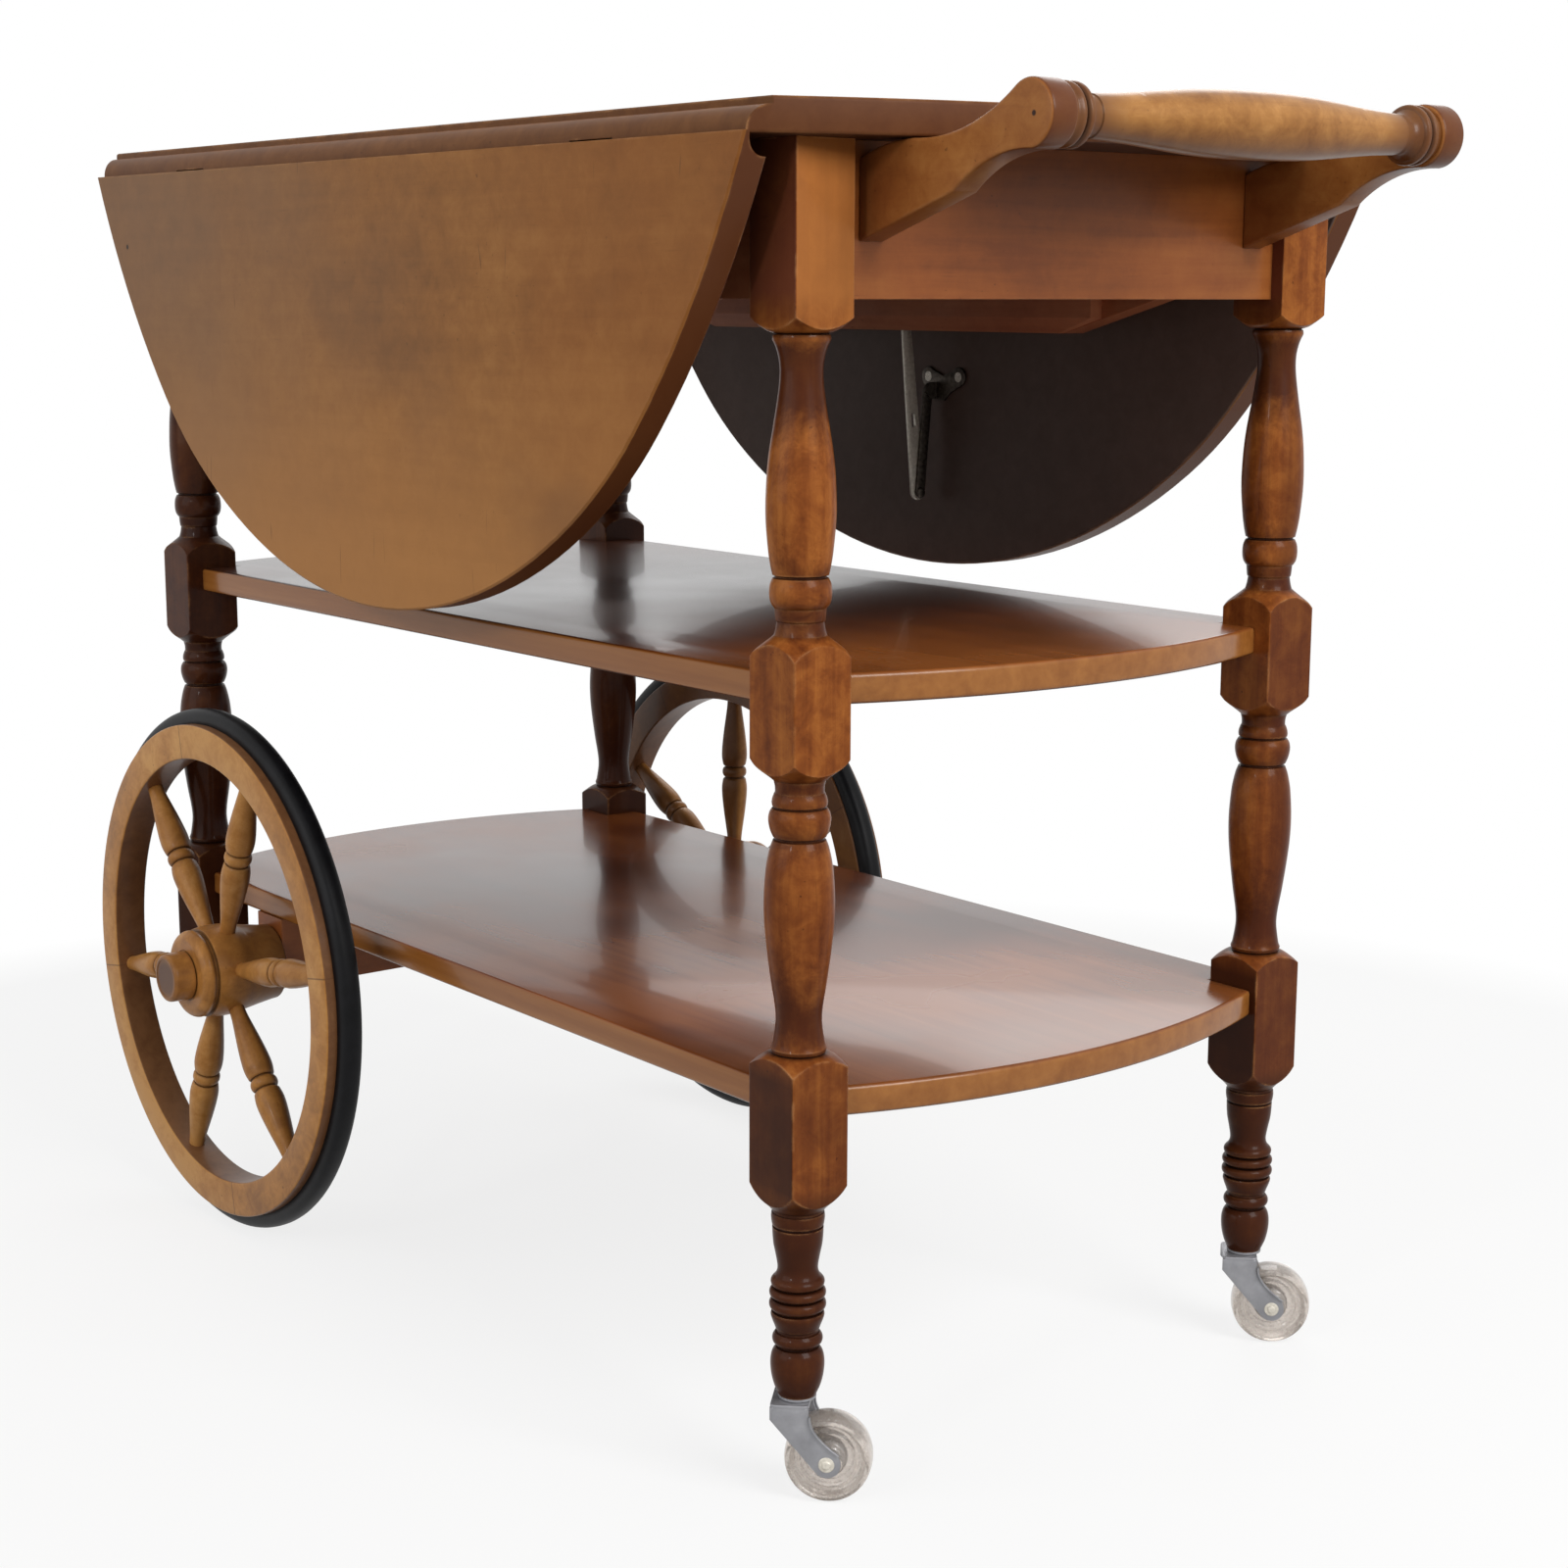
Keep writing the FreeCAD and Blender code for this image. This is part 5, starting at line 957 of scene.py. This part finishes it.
def caster(side_name, side):
    """A folded fork with rolled lips on its stem, a riveted axle, and a clear wheel on a sleeve."""
    name = side_name + "_caster"
    leg = path([
        (-14, CROWN - 1.6), (-14, 50.1), (TRAIL - 8 * 0.759, CASTER_Z - 8 * 0.651),
        (TRAIL + 8 * 0.919, CASTER_Z + 8 * 0.394, 8, 1), *FORK_HOLLOW,
    ], 1)
    parts = [placed(board(leg, low, high, 0.5, 2), UPRIGHT) for low, high in CHEEKS]
    crown = path([(-11, -14.3, 3, 1), (5, -14.3), (8, -11.3, 3, 1), (8, 11.3), (5, 14.3, 3, 1),
                  (-11, 14.3), (-14, 11.3, 3, 1), (-14, -11.3)], 1)
    parts.append(board(crown, CROWN - 2.2, CROWN, 0.6, 3))
    folded = [p for p in FORK_HOLLOW if p[1] < 53]
    lip = folded + [(x + 1.2, z + 0.4) for x, z in folded[::-1]]
    parts += [placed(board(lip, low, high, 0.35, 2), UPRIGHT) for low, high in LIPS]
    race = [(CROWN - 0.3, 7.6), (CROWN + 0.1, 7.4), (CROWN + 0.3, 6.6), (CROWN + 0.35, 6)]
    stem = [(CROWN - 2, 4), (STEM_TOP, 4)]
    parts += [lathe(race, 32), lathe(stem, 20)]
    piece(name + "_fork_sheet", caster_place(side, joined(parts)), "zinc", name + "_fork", name + "_fork")
    head = [[(-15.7, 1.5)], [(-15.5, 2.1), (-14.8, 2.6)], [(-14.8, 3.5), (-14.6, 4.3), (-14.3, 4.6)],
            [(-14.3, 3), (14.3, 3)],
            [(14.3, 4.6), (14.6, 4.3), (14.8, 3.5)], [(14.8, 2.6), (15.5, 2.1)], [(15.7, 1.5)]]
    axle = on_caster_axle(side, lathe(turned(head), 28))
    piece(name + "_rivet", axle, "steel", name + "_fork", name + "_axle")
    section = turned([
        [(9.6, 6.6), (9.6, 8.2), (8.6, 9.2)], [(8.6, 9.2), (6.4, 10), (6, 12.5), (6.6, 15), (7.4, 16.2)],
        [(7.4, 16.2), (6.4, 17.4), (6.4, 19.4), (8.6, 20.6)],
        [(9.4, 20.9), (10, 21.6), (10, 22.6), (9.4, 23.6)],
        [(9.4, 23.6), (7.6, 24.3), (4, 24.85)],
    ], step=0.8)
    whole = section + [(0, 25)] + [(-h, r) for h, r in section[::-1]]
    sleeve = [(-11.8, 3.1), (-11.8, 5.6), (-10.6, 6.7), (10.6, 6.7), (11.8, 5.6), (11.8, 3.1)]
    sleeve = blank(name + "_sleeve", on_caster_axle(side, lathe(sleeve, 40, True)))
    shade(sleeve, "zinc", name + "_wheel")
    wheel = on_caster_axle(side, lathe(whole, 96, True))
    piece(name + "_wheel_moulding", wheel, "plastic", name + "_wheel", name + "_wheel", crease=40)


# ---- stays
STRUT_AT = (195, 650)
STRUT_LENGTH, STRUT_LEAN = 125.75, math.atan2(13.71, 125)
LINK_AT = (215, 598)
LINK_LENGTH, LINK_LEAN = 73.27, math.atan2(195 + 13.71 - 215, 73)


def flat_bar(length, top, low):
    """A flat steel bar with round ends and dressed edges, hanging from its pivot."""
    outline = path([(-top, 0), (top, 0, top * 1.02, -1),
                    (low, -length), (-low, -length, low * 1.02, -1)], 0.8)
    return board(outline, -1, 1, 0.45, 2)


def stay_place(side, shape, across, at, lean):
    """Outline x runs outwards and y upwards; its thickness runs along the trolley."""
    upright = Matrix(((0, 0, side), (side, 0, 0), (0, 1, 0)))
    turn = Matrix.Rotation(lean * side, 3, "X")
    return placed(shape, turn @ upright, (MIDDLE_X + across * side, at[0] * side, at[1]))


def stay(side_name, side):
    """A slotted strut and a link with riveted ends, and the lobed plate on the leaf."""
    name = side_name + "_stay"
    rivet = turned([[(0.4, 4)], [(0.8, 4), (1.6, 3.7), (2.3, 2.6), (2.6, 1.2), (2.7, POLE)]], step=0.5)
    bar = flat_bar(STRUT_LENGTH, 4, 6.5)
    stud = placed(lathe([(-h, r) for h, r in rivet], 24), at=(0, -STRUT_LENGTH, 0))
    slot = path([(-1.75, 48.5, 1.8, -1), (-1.75, 56.5), (1.75, 56.5, 1.8, -1), (1.75, 48.5)], 0.6)
    strut = blank(name + "_strut_bar", stay_place(side, joined([bar, stud]), 0, STRUT_AT, STRUT_LEAN))
    hole = placed(board(slot, -3, 3, 0.05, 1), at=(0, -STRUT_LENGTH, 0))
    hole = blank(name + "_slot", stay_place(side, hole, 0, STRUT_AT, STRUT_LEAN))
    finished(boolean(strut, hole, "DIFFERENCE"), "steel", side_name + "_stay_strut", name + "_strut")
    link = flat_bar(LINK_LENGTH, 4, 4)
    stud = placed(lathe(rivet, 24), at=(0, -LINK_LENGTH, 0))
    piece(name + "_link_bar", stay_place(side, joined([link, stud]), 2.35, LINK_AT, LINK_LEAN), "old_steel",
          side_name + "_stay_link", name + "_link")
    sheet = path([(-9, 603.1), (1, 612.9, 7, -1), (12, 608.8), (23, 612.9), (33, 603.1, 7, -1),
                  (20, 597), (13, 591), (2, 591), (-3, 597)], 1)
    stand = Matrix(((side, 0, 0), (0, 0, side), (0, 1, 0)))
    sheet = placed(board(sheet, 221, 223, 0.5, 2), stand, (MIDDLE_X, 0, 0))
    ear = path([(210.5, 598), (216.5, 604, 6, -1), (222.5, 604), (222.5, 592), (216.5, 592)], 0.8)
    ear = stay_place(side, board(ear, 2.7, 4.7, 0.3, 1), 0, (0, 0), 0)
    stud = stay_place(side, lathe([(1.35, 2), (4.5, 2)], 16), 0, LINK_AT, 0)
    piece(name + "_lobed_plate", joined([sheet, ear, stud]), "old_steel", side_name + "_leaf",
          side_name + "_stay_leaf_plate")


def build_pieces():
    for end_name, end in (("handle", 1), ("wheel", -1)):
        for side_name, side in SIDES:
            post(end_name, end, side_name, side)
    top_board()
    for name, low, high, reach in SHELVES:
        shelf(name, low, high, reach)
    handle_bar()
    for side_name, side in SIDES:
        handle_arm(side_name, side)
        big_wheel(side_name, side)
        caster(side_name, side)
        stay(side_name, side)


# ---- finishes
FINISHES = {
    "top": top_wood(),
    "leaf": leaf_wood(),
    "post": post_wood(),
    "apron_x": apron_wood("side_apron_wood", "x", SIDE_APRON, gloss=0.4),
    "apron_y": apron_wood("end_apron_wood", "y", APRON, gloss=0.34, specular=0.25, wear=0.2),
    "shelf": shelf_wood(),
    "arm": arm_wood(),
    "bar": bar_wood(),
    "batten": apron_wood("batten_wood", "x", BATTEN, gloss=0.5),
    "hub": wheel_wood("hub_wood", grain="y", darker=0.35),
    "spoke": wheel_wood("spoke_wood", darker=0.35),
    "near_wheel_rim": wheel_wood("near_rim_wood", rest=RESTS_AT["near"]),
    "far_wheel_rim": wheel_wood("far_rim_wood", rest=RESTS_AT["far"]),
    "tyre": rubber(),
    "steel": metal("stay_steel", (196, 190, 176), (232, 226, 214), 0.34, 400.0, 0.4),
    "old_steel": metal("fastener_steel", (58, 52, 47), (98, 90, 82), 0.42),
    "zinc": metal("caster_zinc", (130, 130, 134), (157, 157, 161), 0.32, 60.0, 0.6),
    "plastic": clear_plastic(),
}
NODE_FINISH = {
    "end_apron_handle": "apron_y", "end_apron_wheel": "apron_y", "handle_bar": "bar", "frame_dowels": "hub",
    "axle_bolster": "apron_y", "top_cleats": "apron_y", "axle": "old_steel", "axle_nuts": "old_steel",
    "caster_sockets": "zinc", "top_board": "top", "near_leaf": "leaf", "far_leaf": "leaf",
}
FINISH_WORDS = (
    ("post_", "post"), ("side_apron", "apron_x"), ("batten", "batten"), ("shelf", "shelf"), ("arm", "arm"),
    ("tyre", "tyre"), ("hub", "hub"), ("spokes", "spoke"), ("felloes", "near_wheel_rim"),
    ("caster_wheel", "plastic"), ("caster", "zinc"), ("stay", "steel"), ("leaf_screws", "steel"),
    ("screws", "old_steel"), ("hinge", "old_steel"),
)
SLOT_WORDS = (
    ("post", "frame_wood"), ("shelf", "frame_wood"), ("arm", "frame_wood"), ("bar", "frame_wood"),
    ("tyre", "tyre"), ("caster_wheel", "caster_wheel"), ("caster", "zinc"), ("wheel", "wheel_wood"),
    ("strut", "bright_steel"), ("link", "dark_steel"),
)


def dress_nodes():
    for name, obj in frame["nodes"].items():
        finish = NODE_FINISH.get(name) or next(finish for word, finish in FINISH_WORDS if word in name)
        obj.data.materials.clear()
        obj.data.materials.append(FINISHES[finish])


# ---- room, lamps and camera
# the floor's colours for bounced light and in sight, how white it shines near the trolley, and from where to
# where it fades to full white, in metres
FLOOR_BOUNCE, FLOOR_SEEN = (150, 147, 142), (236, 236, 235)
FLOOR_WHITE = 0.8
FLOOR_SIZE = 16.0
FLOOR_FADE = 0.45, 1.15
# the room's light on the trolley; where it is seen itself it is full white
ROOM_LIGHT = 0.42


def floor():
    """A pale floor that keeps the trolley's shadow, fades to white and is clear from below."""
    bpy.ops.mesh.primitive_plane_add(size=FLOOR_SIZE)
    ground = bpy.context.object
    ground.name = "studio_floor"
    shader = Shader("floor_paint")
    sight = shader.seen()
    shader.paint(shader.mix(sight, FLOOR_BOUNCE, FLOOR_SEEN))
    shader.set(Roughness=0.9, Specular_IOR_Level=0.0)
    far_off = shader.mask(shader.distance(shader.axis("X"), shader.axis("Y")), *FLOOR_FADE)
    lift = shader.math("MAXIMUM", shader.times(sight, far_off), shader.times(sight, FLOOR_WHITE))
    white = shader.add("Emission", Strength=1.0).outputs[0]
    clear = shader.add("BsdfTransparent").outputs[0]
    below = shader.add("NewGeometry").outputs["Backfacing"]
    surface = shader.blend(below, shader.blend(lift, shader.body.outputs[0], white), clear)
    shader.link(surface, shader.tree.nodes["Material Output"].inputs["Surface"])
    ground.data.materials.append(shader.material)


def world():
    scene = bpy.context.scene
    scene.world = bpy.data.worlds.new("studio")
    scene.world.use_nodes = True
    nodes = Nodes(scene.world.node_tree)
    background = nodes.tree.nodes["Background"]
    background.inputs["Color"].default_value = (1.0, 1.0, 1.0, 1.0)
    strength = nodes.add("MapRange", **{"To Min": ROOM_LIGHT})
    nodes.link(nodes.seen(), strength.inputs["Value"])
    nodes.link(strength.outputs["Result"], background.inputs["Strength"])


def lamp(name, place, target, size, power):
    data = bpy.data.lights.new(name, "AREA")
    data.size = size
    data.energy = power
    obj = in_scene(name, data)
    obj.location = place
    obj.rotation_euler = (Vector(target) - Vector(place)).to_track_quat("-Z", "Y").to_euler()


def lamps():
    lamp("key", (2.6, 0.2, 2.0), (0.0, 0.0, 0.45), 1.4, 66.0)
    lamp("fill", (-0.4, -2.8, 1.4), (0.0, 0.0, 0.5), 2.0, 22.0)
    lamp("window", (0.9, -2.5, 1.5), (0.2, 0.0, 0.4), 0.28, 8.0)
    lamp("back", (-1.8, 2.0, 2.2), (0.0, 0.0, 0.4), 1.8, 22.0)


def camera():
    data = bpy.data.cameras.new("photo_camera")
    data.sensor_width = SENSOR
    data.lens = FOCAL_PIXELS / FRAME_PIXELS * SENSOR
    obj = in_scene("photo_camera", data)
    forward = Vector((-math.sin(CAMERA_YAW) * math.cos(CAMERA_PITCH),
                      math.cos(CAMERA_YAW) * math.cos(CAMERA_PITCH), math.sin(CAMERA_PITCH)))
    level = Vector((math.cos(CAMERA_YAW), math.sin(CAMERA_YAW), 0.0))
    upright = level.cross(forward)
    right = level * math.cos(CAMERA_ROLL) + upright * math.sin(CAMERA_ROLL)
    up = upright * math.cos(CAMERA_ROLL) - level * math.sin(CAMERA_ROLL)
    turn = Matrix((right, up, -forward)).transposed()
    obj.matrix_world = Matrix.Translation(CAMERA_PLACE) @ turn.to_4x4()
    bpy.context.scene.camera = obj


dress_nodes()
build_pieces()
floor()
world()
lamps()
camera()
bpy.context.scene.view_settings.view_transform = "Standard"
